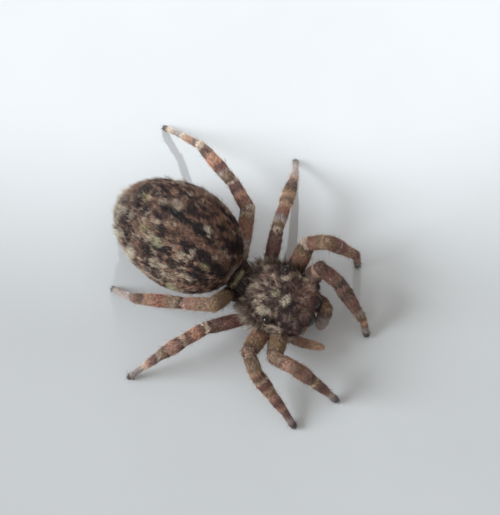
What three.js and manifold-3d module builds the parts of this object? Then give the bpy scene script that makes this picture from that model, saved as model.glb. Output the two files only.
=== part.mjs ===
// A female wall jumping spider standing still on level ground, life size.
//
// Units are millimetres. +Z is up and the ground is z = 0. The head faces -Y, so the spider's left is +X.
// The origin is the middle of the bounding box, on the ground.
// Every place below is given in the body's own frame as (forward, left, up) from the ground under the carapace.
// Each leg is modelled whole, as round-ended segments that share a ball at each joint, and is parted at
// the joints by thin plane cuts, so that neighbours meet face to face.

import * as THREE from "three";
import { mergeVertices } from "three/addons/utils/BufferGeometryUtils.js";
import Module from "manifold-3d";

const wasm = await Module();
wasm.setup();

// ---------------------------------------------------------------- driving dimensions

const GAP = 0.012; // width of the thin cut between two neighbouring pieces
const LEFT = 1;
const RIGHT = -1;

const CARAPACE = {
  front: 1.31, // forward of the body's origin
  rear: -0.86,
  halfWidth: 0.91, // widest, just behind the rear eyes
  faceHalfWidth: 0.82, // across the face
  rimHeight: 0.76, // the flat underside that sits on the coxae
  crownHeight: 1.54, // highest, between the rear eyes
  browHeight: 1.36, // top of the face
  napeHeight: 1.02, // where the thorax slopes down to the waist
  faceSquareness: 3.4, // exponents of the superellipses that round the plan ahead and behind
  napeSquareness: 2.1,
  wallSquareness: 2.7, // and the dome
};

const UNDERSIDE = { middle: 0.04, halfLength: 0.84, halfWidth: 0.52, drop: 0.42 };

const ABDOMEN = {
  middle: [-2.84, 0.55, 1.25],
  halfLength: 1.855,
  halfWidth: 1.41,
  back: 1.2, // from the middle up
  belly: 1.05, // from the middle down
  swing: 12.5, // degrees that its rear end lies to the left of straight behind
  sag: 0.2, // how far the rear end hangs below the middle
};

const PEDICEL = { radius: 0.17, from: [-0.7, 0.0, 0.92], to: [-1.3, 0.16, 1.1] };

// Two rows of eyes: the anterior row on the face, the posterior pairs on the sides of the head.
const EYES = {
  anterior_median: { forward: 1.15, side: 0.235, up: 1.06, radius: 0.215 },
  anterior_lateral: { forward: 1.04, side: 0.6, up: 1.14, radius: 0.13 },
  posterior_median: { forward: 0.6, side: 0.72, up: 1.3, radius: 0.06 },
  posterior_lateral: { forward: 0.19, side: 0.72, up: 1.34, radius: 0.125 },
};

const CHELICERA = { forward: 1.16, side: 0.2, top: 0.72, tip: 0.36, radius: 0.19, lean: 0.04 };

const SPINNERET = { length: 0.44, radius: 0.12, tipRadius: 0.08, spread: 0.07, back: 1.66, height: -0.58 };

// Where each pair of legs leaves the coxae: forward, out from the middle, up.
const HIPS = {
  1: [0.55, 0.57, 0.54],
  2: [0.17, 0.74, 0.54],
  3: [-0.32, 0.74, 0.55],
  4: [-0.98, 0.55, 0.57],
};

const SEGMENTS = ["femur", "patella", "tibia", "metatarsus", "tarsus"];

// Length of each segment, pair by pair. The hind pair is much the longest.
const SEGMENT_LENGTHS = {
  1: [1.18, 0.66, 0.72, 0.64, 0.47],
  2: [1.15, 0.62, 0.66, 0.64, 0.48],
  3: [1.22, 0.64, 0.72, 0.74, 0.5],
  4: [1.52, 0.78, 1.3, 1.08, 0.56],
};

// Radius at the near joint, at the belly and at the far joint.
const SEGMENT_RADII = {
  femur: [0.2, 0.28, 0.24],
  patella: [0.24, 0.26, 0.24],
  tibia: [0.24, 0.26, 0.235],
  metatarsus: [0.235, 0.24, 0.23],
  tarsus: [0.23, 0.235, 0.23],
};

// The claws end at a height of CLAW. The solid of the tarsus, thicker than the real one, has its round end
// centred further back, where the leg comes down through a height of PAD, and is cut flat on the ground.
const CLAW = 0.1;
const PAD = 0.2;

// The stance. Headings are degrees out from straight ahead and rises degrees above level, one for each
// segment. The tarsus has no rise, as it reaches down to the ground from wherever the ankle is. A leg
// whose body end is swung forward or back has a hip of its own in place of its pair's.
const STANCE = {
  left_1: {
    side: LEFT,
    pair: 1,
    hip: [0.64, 0.53, 0.54],
    heading: [55, -12, -32, -28, -50],
    rise: [58, -30, -24, -49],
  },
  left_2: {
    side: LEFT,
    pair: 2,
    hip: [0.3, 0.73, 0.54],
    heading: [81, 19, 11, 12, -51],
    rise: [41, 30, -52, -56],
  },
  left_3: { side: LEFT, pair: 3, heading: [99, 94, 95, 100, 110], rise: [40, -11, -17, -47] },
  left_4: { side: LEFT, pair: 4, heading: [107, 142, 152, 161, 170], rise: [17, 7, 1, -45] },
  right_1: { side: RIGHT, pair: 1, heading: [80, 9, 4, 9, 11], rise: [32, 22, -48, -43] },
  right_2: { side: RIGHT, pair: 2, heading: [97, 47, 29, 29, 32], rise: [34, -31, -27, -23] },
  right_3: {
    side: RIGHT,
    pair: 3,
    hip: [-0.34, 0.7, 0.55],
    heading: [141, 128, 126, 130, 130],
    rise: [16, 1, -2, -38],
  },
  right_4: {
    side: RIGHT,
    pair: 4,
    hip: [-1.02, 0.27, 0.57],
    heading: [106, 166, 165, -164, -160],
    rise: [61, -20, -6, -61],
  },
};

// The palps are two short feelers beside the face, drawn as legs are, each kept in one piece.
const PALP_BASE = [0.97, 0.43, 0.58];
const PALP_LENGTHS = [0.46, 0.24, 0.25, 0.42];
const PALP_RADII = [0.2, 0.22, 0.23, 0.23, 0.21];
const PALPS = {
  left: { side: LEFT, heading: [-14, -40, -80, -96], rise: [42, 8, -35, -68] },
  right: { side: RIGHT, heading: [98, 2, -10, -16], rise: [26, -5, -20, -30] },
};

const COLOURS = {
  coat: 0x6b5547,
  abdomen: 0x5a463c,
  leg: 0x9a6a4e,
  foot: 0x6f6a66,
  underside: 0x7a5c48,
  eye: 0x0b0a0d,
};

// ---------------------------------------------------------------- frame and small helpers

// A place in the body's own frame, as a vector in the part's frame.
function at([forward, left, up]) {
  return new THREE.Vector3(left, -forward, up);
}

// The unit vector at a heading and rise in degrees, on one side of the body.
function direction(side, heading, rise) {
  const h = THREE.MathUtils.degToRad(heading);
  const r = THREE.MathUtils.degToRad(rise);
  return at([Math.cos(r) * Math.cos(h), side * Math.cos(r) * Math.sin(h), Math.sin(r)]);
}

// A closed three.js geometry as a solid that can be joined and cut.
function solidOf(geometry) {
  const bare = geometry.clone();
  bare.deleteAttribute("normal");
  bare.deleteAttribute("uv");
  const merged = mergeVertices(bare, 1e-5);
  const made = new wasm.Manifold(
    new wasm.Mesh({
      numProp: 3,
      vertProperties: new Float32Array(merged.attributes.position.array),
      triVerts: new Uint32Array(merged.index.array),
    }),
  );
  return made;
}

// A solid as a geometry with flat shading.
function geometryOf(solid) {
  const { vertProperties, triVerts, numProp } = solid.getMesh();
  const positions = new Float32Array((vertProperties.length / numProp) * 3);
  for (let i = 0; i < positions.length / 3; i += 1) {
    positions.set(vertProperties.subarray(i * numProp, i * numProp + 3), i * 3);
  }
  const indexed = new THREE.BufferGeometry();
  indexed.setAttribute("position", new THREE.BufferAttribute(positions, 3));
  indexed.setIndex(new THREE.BufferAttribute(new Uint32Array(triVerts), 1));
  const flat = indexed.toNonIndexed();
  flat.computeVertexNormals();
  return flat;
}

function joined(solids) {
  return solids.reduce((whole, solid) => whole.add(solid));
}

// Everything beyond a plane, as a box big enough for any piece of the spider.
function beyond(point, normal) {
  const size = 12;
  const box = new THREE.BoxGeometry(size, size, size);
  box.translate(0, size / 2, 0);
  box.applyQuaternion(new THREE.Quaternion().setFromUnitVectors(new THREE.Vector3(0, 1, 0), normal));
  box.translate(point.x, point.y, point.z);
  return solidOf(box);
}

// A sine or cosine bent so that a circle becomes a superellipse of the given exponent.
function rounded(value, exponent) {
  return Math.sign(value) * Math.abs(value) ** (2 / exponent);
}

const UP = new THREE.Vector3(0, 0, 1);
const DOWN = new THREE.Vector3(0, 0, -1);

function cutAbove(solid, height) {
  return solid.subtract(beyond(new THREE.Vector3(0, 0, height), UP));
}

function cutBelow(solid, height) {
  return solid.subtract(beyond(new THREE.Vector3(0, 0, height), DOWN));
}

// The part of a solid on one side of the middle plane, short of it by half a gap.
function halfOf(solid, hand) {
  const inward = new THREE.Vector3(-hand, 0, 0);
  return solid.subtract(beyond(new THREE.Vector3(hand * GAP * 0.5, 0, 0), inward));
}

function ellipsoid(centre, [halfForward, halfSide, halfUp]) {
  const ball = new THREE.SphereGeometry(1, 16, 8);
  ball.rotateX(Math.PI / 2);
  ball.scale(halfSide, halfForward, halfUp);
  const c = at(centre);
  return solidOf(ball.translate(c.x, c.y, c.z));
}

// How finely a limb is faceted: a leg's segments are in full view, and the others are half hidden.
const SHOWN = { sides: 9, capSteps: 2, barrelSteps: 2 };
const TUCKED = { sides: 7, capSteps: 2, barrelSteps: 1 };
const FEELER = { sides: 6, capSteps: 2, barrelSteps: 1 };

// A round bar from one point to another, swelling to a belly, with a ball at each end.
function limb(from, to, [near, belly, far], grow = 0, { sides, capSteps, barrelSteps } = SHOWN) {
  const span = to.clone().sub(from);
  const length = span.length();
  const profile = [];
  for (let i = 0; i < capSteps; i += 1) {
    const a = (i / capSteps) * (Math.PI / 2);
    profile.push(new THREE.Vector2((near + grow) * Math.sin(a), -(near + grow) * Math.cos(a)));
  }
  for (let i = 0; i <= barrelSteps; i += 1) {
    const t = i / barrelSteps;
    const straight = near + (far - near) * t;
    const swell = (belly - (near + far) / 2) * Math.sin(Math.PI * t);
    profile.push(new THREE.Vector2(straight + swell + grow, length * t));
  }
  for (let i = capSteps - 1; i >= 0; i -= 1) {
    const a = (i / capSteps) * (Math.PI / 2);
    profile.push(new THREE.Vector2((far + grow) * Math.sin(a), length + (far + grow) * Math.cos(a)));
  }
  const bar = new THREE.LatheGeometry(profile, sides);
  bar.applyQuaternion(new THREE.Quaternion().setFromUnitVectors(new THREE.Vector3(0, 1, 0), span.normalize()));
  bar.translate(from.x, from.y, from.z);
  return solidOf(bar);
}

// ---------------------------------------------------------------- legs

// The joints of a leg, from the hip to the claws.
function legJoints({ side, pair, hip = HIPS[pair], heading, rise }) {
  const [forward, out, up] = hip;
  const joints = [at([forward, side * out, up])];
  SEGMENT_LENGTHS[pair].forEach((length, i) => {
    const last = joints[joints.length - 1];
    const fall = THREE.MathUtils.radToDeg(Math.asin((CLAW - last.z) / length));
    const slope = i < rise.length ? rise[i] : fall;
    joints.push(last.clone().addScaledVector(direction(side, heading[i], slope), length));
  });
  return joints;
}

// The middle of a leg's coxa, on the edge of the sternum.
function coxaRoot({ side, pair, hip = HIPS[pair] }) {
  const [forward, out] = hip;
  return at([forward * 0.72, side * out * 0.45, 0.5]);
}

// The plane that halves the bend at a joint: its normal points along the leg.
function bend(before, joint, after) {
  const incoming = joint.clone().sub(before).normalize();
  const outgoing = after.clone().sub(joint).normalize();
  return incoming.add(outgoing).normalize();
}

function legSegments(leg, grow = 0) {
  const joints = legJoints(leg);
  const [ankle, claws] = joints.slice(-2);
  joints[joints.length - 1] = claws.clone().lerp(ankle, (PAD - CLAW) / (ankle.z - CLAW));
  return SEGMENTS.map((name, i) => limb(joints[i], joints[i + 1], SEGMENT_RADII[name], grow));
}

// A leg's five pieces, parted at the joints and flat under the foot.
function partedLeg(leg) {
  const joints = legJoints(leg);
  const path = [coxaRoot(leg), ...joints];
  return legSegments(leg).map((segment, i) => {
    let piece = segment;
    const nearNormal = bend(path[i], path[i + 1], path[i + 2]);
    const nearPoint = joints[i].clone().addScaledVector(nearNormal, GAP / 2);
    piece = piece.subtract(beyond(nearPoint, nearNormal.clone().negate()));
    if (i < SEGMENTS.length - 1) {
      const farNormal = bend(path[i + 1], path[i + 2], path[i + 3]);
      const farPoint = joints[i + 1].clone().addScaledVector(farNormal, -GAP / 2);
      piece = piece.subtract(beyond(farPoint, farNormal));
    }
    return cutBelow(piece, 0);
  });
}

function legEnvelope(leg) {
  return joined(legSegments(leg, GAP));
}

function coxa(leg) {
  const root = coxaRoot(leg);
  const joints = legJoints(leg);
  const normal = bend(root, joints[0], joints[1]);
  const end = joints[0].clone().addScaledVector(normal, -GAP / 2);
  const radius = SEGMENT_RADII.femur[0];
  return limb(root, joints[0], [radius, radius, radius], 0, TUCKED).subtract(beyond(end, normal));
}

// ---------------------------------------------------------------- head and thorax

// How wide the carapace would be without its rounded ends, at a place along it.
function carapaceHalfWidth(forward) {
  const { front, halfWidth, faceHalfWidth } = CARAPACE;
  const ahead = Math.max(forward, 0) / front;
  return halfWidth - (halfWidth - faceHalfWidth) * ahead ** 2;
}

// How high the top of the carapace is, at a place along it.
function carapaceTop(forward) {
  const { front, rear, crownHeight, browHeight, napeHeight } = CARAPACE;
  if (forward > 0) {
    return crownHeight - (crownHeight - browHeight) * (forward / front) ** 2.4;
  }
  return crownHeight - (crownHeight - napeHeight) * (forward / rear) ** 1.7;
}

function carapaceDome(grow = 0) {
  const { front, rear, rimHeight, faceSquareness, napeSquareness, wallSquareness } = CARAPACE;
  const dome = new THREE.SphereGeometry(1, 22, 12).rotateX(Math.PI / 2);
  const places = dome.getAttribute("position");
  const middle = (front + rear) / 2;
  const halfLength = (front - rear) / 2;
  for (let i = 0; i < places.count; i += 1) {
    const outward = new THREE.Vector3().fromBufferAttribute(places, i);
    const level = Math.hypot(outward.x, outward.y) || 1e-9;
    const reach = rounded(level, wallSquareness);
    const plan = outward.y < 0 ? faceSquareness : napeSquareness;
    const forward = middle - halfLength * reach * rounded(outward.y / level, plan);
    const side = carapaceHalfWidth(forward) * reach * rounded(outward.x / level, plan);
    const height = (carapaceTop(forward) - rimHeight) * rounded(Math.max(outward.z, -0.3), wallSquareness);
    const place = at([forward, side, rimHeight + height]).addScaledVector(outward, grow);
    places.setXYZ(i, place.x, place.y, place.z);
  }
  return cutBelow(solidOf(dome), rimHeight - grow);
}

function eyeball({ forward, side, up, radius }, hand, grow = 0) {
  const ball = new THREE.SphereGeometry(radius + grow, 8, 7);
  const centre = at([forward, hand * side, up]);
  return solidOf(ball.translate(centre.x, centre.y, centre.z));
}

function sternum(grow = 0) {
  const { middle, halfLength, halfWidth, drop } = UNDERSIDE;
  const halfSizes = [halfLength + grow, halfWidth + grow, drop + grow];
  return ellipsoid([middle, 0, CARAPACE.rimHeight], halfSizes);
}

function underside() {
  const whole = joined([sternum(), ...Object.values(STANCE).map(coxa)]);
  return cutAbove(whole, CARAPACE.rimHeight - GAP);
}

function chelicera(hand, grow = 0) {
  const { forward, side, top, tip, radius, lean } = CHELICERA;
  const from = at([forward, hand * side, top]);
  const to = at([forward + lean, hand * side, tip + radius * 0.7]);
  return limb(from, to, [radius, radius * 0.95, radius * 0.7], grow, TUCKED);
}

function palp({ side, heading, rise }, grow = 0) {
  const [forward, out, up] = PALP_BASE;
  const pieces = [];
  let from = at([forward, side * out, up]);
  PALP_LENGTHS.forEach((length, i) => {
    const to = from.clone().addScaledVector(direction(side, heading[i], rise[i]), length);
    const near = PALP_RADII[i];
    const far = PALP_RADII[i + 1];
    pieces.push(limb(from, to, [near, (near + far) / 2, far], grow, FEELER));
    from = to;
  });
  return joined(pieces);
}

// ---------------------------------------------------------------- abdomen

// Puts a solid drawn along the abdomen's own axis, nose forward, in its place.
function onAbdomen(geometry) {
  const middle = at(ABDOMEN.middle);
  geometry.rotateZ(-THREE.MathUtils.degToRad(ABDOMEN.swing));
  return geometry.translate(middle.x, middle.y, middle.z);
}

// An egg with a deeper back than belly, whose rear end sags.
function abdomenEgg(grow = 0) {
  const { halfLength, halfWidth, back, belly, sag } = ABDOMEN;
  const egg = new THREE.SphereGeometry(1, 24, 14).rotateX(Math.PI / 2);
  const places = egg.getAttribute("position");
  for (let i = 0; i < places.count; i += 1) {
    const { x, y, z } = new THREE.Vector3().fromBufferAttribute(places, i);
    const depth = (z > 0 ? back : belly) + grow;
    const drop = y > 0 ? sag * y ** 2 : 0;
    places.setXYZ(i, x * (halfWidth + grow), y * (halfLength + grow), z * depth - drop);
  }
  return solidOf(onAbdomen(egg));
}

// Four short cones under the tip of the abdomen, two above two, half sunk in it.
function spinnerets() {
  const { length, radius, tipRadius, spread, back, height } = SPINNERET;
  const cones = [-1, 1].flatMap((hand) =>
    [-1, 1].map((row) => {
      const cone = new THREE.CylinderGeometry(tipRadius, radius, length, 8);
      return solidOf(onAbdomen(cone.translate(hand * spread, back, height + row * spread)));
    }),
  );
  return joined(cones).subtract(abdomenEgg(GAP));
}

function pedicel() {
  const { from, to, radius } = PEDICEL;
  return limb(at(from), at(to), [radius, radius, radius], 0, TUCKED);
}

// ---------------------------------------------------------------- the spider

const model = new THREE.Group();
model.name = "jumping_spider";

function addPiece(name, solid, colour, roughness = 0.85) {
  const material = new THREE.MeshStandardMaterial({ color: colour, roughness, metalness: 0 });
  const mesh = new THREE.Mesh(geometryOf(solid), material);
  mesh.name = name;
  model.add(mesh);
}

const hands = { left: LEFT, right: RIGHT };
const legs = Object.entries(STANCE);
const palps = Object.entries(PALPS);

// What each piece is cut back from, grown by the gap that stays between them.
const legSpace = joined(legs.map(([, leg]) => legEnvelope(leg)));
const palpSpace = joined(palps.map(([, pose]) => palp(pose, GAP)));
const jawSpace = joined(Object.values(hands).map((hand) => chelicera(hand, GAP)));
const eyeSpace = joined(
  Object.values(EYES).flatMap((eye) => Object.values(hands).map((hand) => eyeball(eye, hand, GAP))),
);
const headSpace = carapaceDome(GAP);
const abdomenSpace = abdomenEgg(GAP);

addPiece("carapace", carapaceDome().subtract(legSpace).subtract(eyeSpace), COLOURS.coat);
addPiece("sternum_and_coxae", underside().subtract(palpSpace).subtract(jawSpace), COLOURS.underside);
addPiece("abdomen", abdomenEgg().subtract(legSpace), COLOURS.abdomen);
addPiece("spinnerets", spinnerets(), COLOURS.underside);
addPiece(
  "pedicel",
  pedicel().subtract(headSpace).subtract(abdomenSpace).subtract(sternum(GAP)),
  COLOURS.underside,
);

for (const [handName, hand] of Object.entries(hands)) {
  for (const [eyeName, eye] of Object.entries(EYES)) {
    addPiece(`eye_${eyeName}_${handName}`, eyeball(eye, hand), COLOURS.eye, 0.08);
  }
  const jaw = chelicera(hand).subtract(headSpace).subtract(eyeSpace);
  addPiece(`chelicera_${handName}`, halfOf(jaw, hand), COLOURS.underside, 0.5);
}

for (const [handName, pose] of palps) {
  const feeler = palp(pose).subtract(headSpace).subtract(eyeSpace).subtract(jawSpace).subtract(legSpace);
  addPiece(`palp_${handName}`, feeler, COLOURS.coat);
}

for (const [legName, leg] of legs) {
  partedLeg(leg).forEach((piece, i) => {
    const colour = SEGMENTS[i] === "tarsus" ? COLOURS.foot : COLOURS.leg;
    addPiece(`leg_${legName}_${SEGMENTS[i]}`, piece, colour);
  });
}

const box = new THREE.Box3().setFromObject(model);
const centre = box.getCenter(new THREE.Vector3());
model.position.set(-centre.x, -centre.y, 0);

export default model;
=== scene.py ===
"""Looks of a female wall jumping spider that stands still on level ground, life size.

Shapes are worked out in millimetres, in the row's frame, and are made metres when a piece is finished.
Places on the body are given in the body's own frame as (forward, left, up), as the solids are.
One skin is sculpted from turned barrels and bent spheres that a voxel remesh fuses. The coat is rooted on
that skin: each part of the body knows how its hair lies, how long it is and what markings it wears.
"""

import itertools
import logging
import math
from dataclasses import dataclass, replace
from enum import Enum, IntEnum
from typing import Callable, Iterable, Sequence

import bmesh
import bpy
import numpy as np
from mathutils import Matrix, Vector


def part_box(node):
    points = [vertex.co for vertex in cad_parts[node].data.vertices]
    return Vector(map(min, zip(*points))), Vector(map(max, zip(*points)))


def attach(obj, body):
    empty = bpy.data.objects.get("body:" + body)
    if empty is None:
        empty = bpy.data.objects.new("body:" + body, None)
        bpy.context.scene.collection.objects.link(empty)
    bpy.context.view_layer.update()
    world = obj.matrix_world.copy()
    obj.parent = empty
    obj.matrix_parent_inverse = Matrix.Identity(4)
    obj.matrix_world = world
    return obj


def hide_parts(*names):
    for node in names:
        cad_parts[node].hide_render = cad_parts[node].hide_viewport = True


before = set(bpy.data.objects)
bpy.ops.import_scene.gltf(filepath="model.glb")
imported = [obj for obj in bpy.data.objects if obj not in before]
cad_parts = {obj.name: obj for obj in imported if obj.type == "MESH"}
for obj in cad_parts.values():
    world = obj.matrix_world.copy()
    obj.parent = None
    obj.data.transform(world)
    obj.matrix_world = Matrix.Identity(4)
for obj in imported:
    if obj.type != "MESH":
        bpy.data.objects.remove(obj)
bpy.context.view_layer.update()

LOG = logging.getLogger("jumping_spider")

MM = 0.001
TINY = 1e-9
LEFT = 1
RIGHT = -1
HANDS = {"left": LEFT, "right": RIGHT}
UP = Vector((0.0, 0.0, 1.0))

Profile = Sequence[tuple[float, float]]
Test = Callable[[np.ndarray], np.ndarray]


# ------------------------------------------------------------------ colours


def linear(red: int, green: int, blue: int) -> tuple[float, float, float]:
    """A colour of 0 to 255 a channel, as scene-linear shares."""

    def one(channel: int) -> float:
        share = channel / 255
        return share / 12.92 if share <= 0.04045 else ((share + 0.055) / 1.055) ** 2.4

    return one(red), one(green), one(blue)


class Tint(Enum):
    """The colours of the hair."""

    INK = linear(44, 28, 31)
    UMBER = linear(73, 48, 49)
    COCOA = linear(109, 79, 69)
    ROSE = linear(158, 117, 100)
    TAN = linear(176, 138, 114)
    CREAM = linear(219, 197, 176)
    PALE = linear(225, 209, 188)
    SAGE = linear(192, 183, 148)
    STRAW = linear(208, 189, 144)
    GREY = linear(166, 140, 122)
    BROWN = linear(99, 68, 57)
    PLUM = linear(121, 84, 79)
    MAROON = linear(129, 80, 71)
    MOCHA = linear(147, 109, 93)
    RUST = linear(158, 105, 87)
    COPPER = linear(166, 118, 95)
    OLIVE = linear(147, 119, 85)
    BLUSH = linear(186, 142, 124)
    FAWN = linear(198, 159, 132)
    ORANGE = linear(200, 150, 124)
    ASH = linear(186, 169, 162)
    SMOKE = linear(152, 140, 138)
    SLATE = linear(98, 94, 88)


Bands = Sequence[tuple[float, Tint]]


# ------------------------------------------------------------------ patterns


class Salt(IntEnum):
    """Which steady numbers each pattern takes, so that no two are alike."""

    LOCK_X = 1
    LOCK_Y = 2
    LOCK_Z = 3
    BACK_TONE = 4
    BACK_FINE = 5
    BACK_BROAD = 6
    BACK_FLANK = 7
    BACK_EDGE = 8
    BACK_LENGTH = 9
    BACK_LIFT = 10
    BACK_TURN = 11
    BACK_FLECK = 12
    HEAD_TONE = 21
    HEAD_FINE = 22
    HEAD_EDGE = 23
    HEAD_LENGTH = 24
    HEAD_LIFT = 25
    HEAD_TURN = 26
    LIMB_STRAY = 31
    LIMB_FINE = 32
    LIMB_LIGHT = 33
    LIMB_TURN = 34
    LIMB_LENGTH = 35
    LIMB_FLECK = 36
    UNDER_TONE = 41
    UNDER_FINE = 42
    UNDER_TURN = 43
    UNDER_LENGTH = 44


CELL_PRIMES = np.array([73856093, 19349663, 83492791])
SALT_STEP = 40503
STIR = 1274126177
SHIFTS = (13, 11, 15)
LOW_32_BITS = 0xFFFFFFFF
LOW_16_BITS = 0xFFFF


def hashed(cells: np.ndarray, salt: int) -> np.ndarray:
    """A steady number from 0 to 1 for each cell of a grid.

    Args:
        cells: Whole-numbered cells, as rows of three.
        salt: Gives another set of numbers for the same cells.

    Returns:
        One number a row.
    """
    mixed = cells.astype(np.int64) @ CELL_PRIMES + salt * SALT_STEP
    for shift in SHIFTS:
        mixed = ((mixed & LOW_32_BITS) ^ ((mixed & LOW_32_BITS) >> shift)) * STIR
    return (mixed >> 7 & LOW_16_BITS) / LOW_16_BITS


def eased(part: np.ndarray) -> np.ndarray:
    """A rise from 0 to 1 that starts and ends level."""
    return part * part * (3 - 2 * part)


def smooth_step(values: np.ndarray, low: float, high: float) -> np.ndarray:
    """0 below low, 1 above high, and a smooth rise between."""
    return eased(np.clip((values - low) / (high - low), 0, 1))


def noise(points: np.ndarray, size: float, salt: int) -> np.ndarray:
    """Smooth noise from 0 to 1.

    Args:
        points: Places, as rows of three.
        size: The width of its lumps, in the units of the places.
        salt: Gives another noise.

    Returns:
        One number a row.
    """
    scaled = points / size
    base = np.floor(scaled)
    part = eased(scaled - base)
    total = np.zeros(len(points))
    for corner in itertools.product((0, 1), repeat=3):
        weight = np.prod(np.where(corner, part, 1 - part), axis=1)
        total += weight * hashed(base + corner, salt)
    return total


@dataclass(frozen=True)
class Locks:
    """The locks that hair gathers in: each place belongs to the lock whose middle is nearest."""

    cell: np.ndarray
    border: np.ndarray

    MIDDLE = (Salt.LOCK_X, Salt.LOCK_Y, Salt.LOCK_Z)
    BORDER = (0.03, 0.3)

    @classmethod
    def of(cls, points: np.ndarray, sizes: Sequence[float]) -> "Locks":
        """Sorts places into locks.

        Args:
            points: Places, as rows of three.
            sizes: How long, wide and deep a lock is.

        Returns:
            The lock of each place, and how near it is to the lock's border.
        """
        scaled = points / np.array(sizes)
        base = np.floor(scaled)
        best, second = np.full((2, len(points)), np.inf)
        cell = base.copy()
        for step in itertools.product((-1, 0, 1), repeat=3):
            there = base + step
            middle = there + np.stack([hashed(there, salt) for salt in cls.MIDDLE], axis=1)
            gap = ((scaled - middle) ** 2).sum(axis=1)
            nearer = gap < best
            second = np.where(nearer, best, np.minimum(second, gap))
            best = np.minimum(best, gap)
            cell[nearer] = there[nearer]
        return cls(cell, 1 - smooth_step(np.sqrt(second) - np.sqrt(best), *cls.BORDER))

    def share(self, salt: int) -> np.ndarray:
        """A number from 0 to 1 that all places in a lock have in common."""
        return hashed(self.cell, salt)

    def about(self, salt: int, least: float, span: float) -> np.ndarray:
        """A scale that differs from lock to lock, from least up by a span."""
        return least + span * self.share(salt)


def graded(values: np.ndarray, stops: Bands) -> np.ndarray:
    """Colours along a scale.

    Args:
        values: Places on the scale.
        stops: Rising places and the colour at each, with an even change between two of them.

    Returns:
        Linear colours, as rows of three.
    """
    places = [place for place, _ in stops]
    colours = np.array([tint.value for _, tint in stops])
    return np.stack([np.interp(values, places, colours[:, i]) for i in range(3)], axis=1)


def blended(
    under: np.ndarray, over: "np.ndarray | Tint | tuple[float, ...]", share: np.ndarray
) -> np.ndarray:
    """Rows with a share of others, or of one tint or row, laid over them."""
    over = np.array(over.value if isinstance(over, Tint) else over)
    return under + (over - under) * share[:, None]


@dataclass(frozen=True)
class Spot:
    """A patch of one colour, drawn on two coordinates of the surface.

    Attributes:
        where: Its middle.
        size: Its half length and half width.
        tint: Its colour.
        turn: Degrees that its length is turned from the first coordinate to the second.
        strength: How fully it covers, from 0 to 1.
    """

    where: tuple[float, float]
    size: tuple[float, float]
    tint: Tint
    turn: float = 0.0
    strength: float = 1.0

    EDGE = (0.75, 1.2)

    def laid(self, colours: np.ndarray, chart: np.ndarray, ragged: np.ndarray) -> np.ndarray:
        """Lays the spot over colours.

        Args:
            colours: The colours so far, as rows of three.
            chart: The two coordinates of each place.
            ragged: How much further out than the spot's edge each place counts, as a share.

        Returns:
            The new colours.
        """
        away = chart - np.array(self.where)
        cosine, sine = math.cos(math.radians(self.turn)), math.sin(math.radians(self.turn))
        long = (away[:, 0] * cosine + away[:, 1] * sine) / self.size[0]
        wide = (away[:, 1] * cosine - away[:, 0] * sine) / self.size[1]
        reach = np.hypot(long, wide) + ragged
        return blended(colours, self.tint, (1 - smooth_step(reach, *self.EDGE)) * self.strength)


def spotted(colours: np.ndarray, spots: Iterable[Spot], chart: np.ndarray, ragged: np.ndarray) -> np.ndarray:
    """Colours with spots laid over them in turn."""
    for spot in spots:
        colours = spot.laid(colours, chart, ragged)
    return colours


# ------------------------------------------------------------------ frame and mesh helpers


@dataclass(frozen=True)
class BodyFrame:
    """The body's own frame within the row's frame, in millimetres."""

    across: float
    along: float

    @classmethod
    def from_eye(cls, eye: "Eye") -> "BodyFrame":
        """Finds the body by one eye, whose solid the frame holds."""
        low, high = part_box(f"eye_{eye.name}_left")
        middle = (low + high) / (2 * MM)
        return cls(middle.x - eye.side, middle.y + eye.forward)

    def at(self, forward: float, left: float, up: float) -> Vector:
        """A place on the body, in the row's frame."""
        return Vector((left + self.across, self.along - forward, up))

    def own(self, points: np.ndarray) -> np.ndarray:
        """(forward, left, up) of places in the row's frame, as rows of three."""
        return np.stack([self.along - points[:, 1], points[:, 0] - self.across, points[:, 2]], axis=1)


def heading_vector(side: int, heading: float, rise: float) -> Vector:
    """The way that a heading and a rise in degrees point, on one side of the body."""
    turn, slope = math.radians(heading), math.radians(rise)
    level = math.cos(slope)
    return Vector((side * level * math.sin(turn), -level * math.cos(turn), math.sin(slope)))


def facing(direction: Vector, place: Vector) -> Matrix:
    """The move that turns +Z to a direction and puts the origin at a place."""
    return Matrix.Translation(place) @ direction.to_track_quat("Z", "Y").to_matrix().to_4x4()


def added(target: bmesh.types.BMesh, part: bmesh.types.BMesh, move: Matrix | None = None) -> None:
    """Moves one bmesh, adds it to another and frees it."""
    if move is not None:
        bmesh.ops.transform(part, matrix=move, verts=part.verts)
    passing = bpy.data.meshes.new("passing")
    part.to_mesh(passing)
    part.free()
    target.from_mesh(passing)
    bpy.data.meshes.remove(passing)


def turned(profile: Profile, steps: int) -> bmesh.types.BMesh:
    """A closed solid turned about Z.

    Args:
        profile: Half its outline as (radius, height), from one pole to the other.
        steps: How many flats go round.

    Returns:
        A new bmesh.
    """
    solid = bmesh.new()
    verts = [solid.verts.new((radius, 0.0, height)) for radius, height in profile]
    edges = [solid.edges.new(pair) for pair in zip(verts, verts[1:])]
    bmesh.ops.spin(
        solid, geom=verts + edges, cent=(0, 0, 0), axis=UP, angle=math.tau, steps=steps, use_merge=True
    )
    bmesh.ops.remove_doubles(solid, verts=solid.verts, dist=1e-5)
    bmesh.ops.recalc_face_normals(solid, faces=solid.faces)
    return solid


def bent_sphere(steps: tuple[int, int], bend: Callable[[Vector], Vector]) -> bmesh.types.BMesh:
    """A unit sphere whose every point is moved by a rule."""
    ball = bmesh.new()
    bmesh.ops.create_uvsphere(ball, u_segments=steps[0], v_segments=steps[1], radius=1.0)
    for vert in ball.verts:
        vert.co = bend(vert.co.copy())
    bmesh.ops.recalc_face_normals(ball, faces=ball.faces)
    return ball


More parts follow.
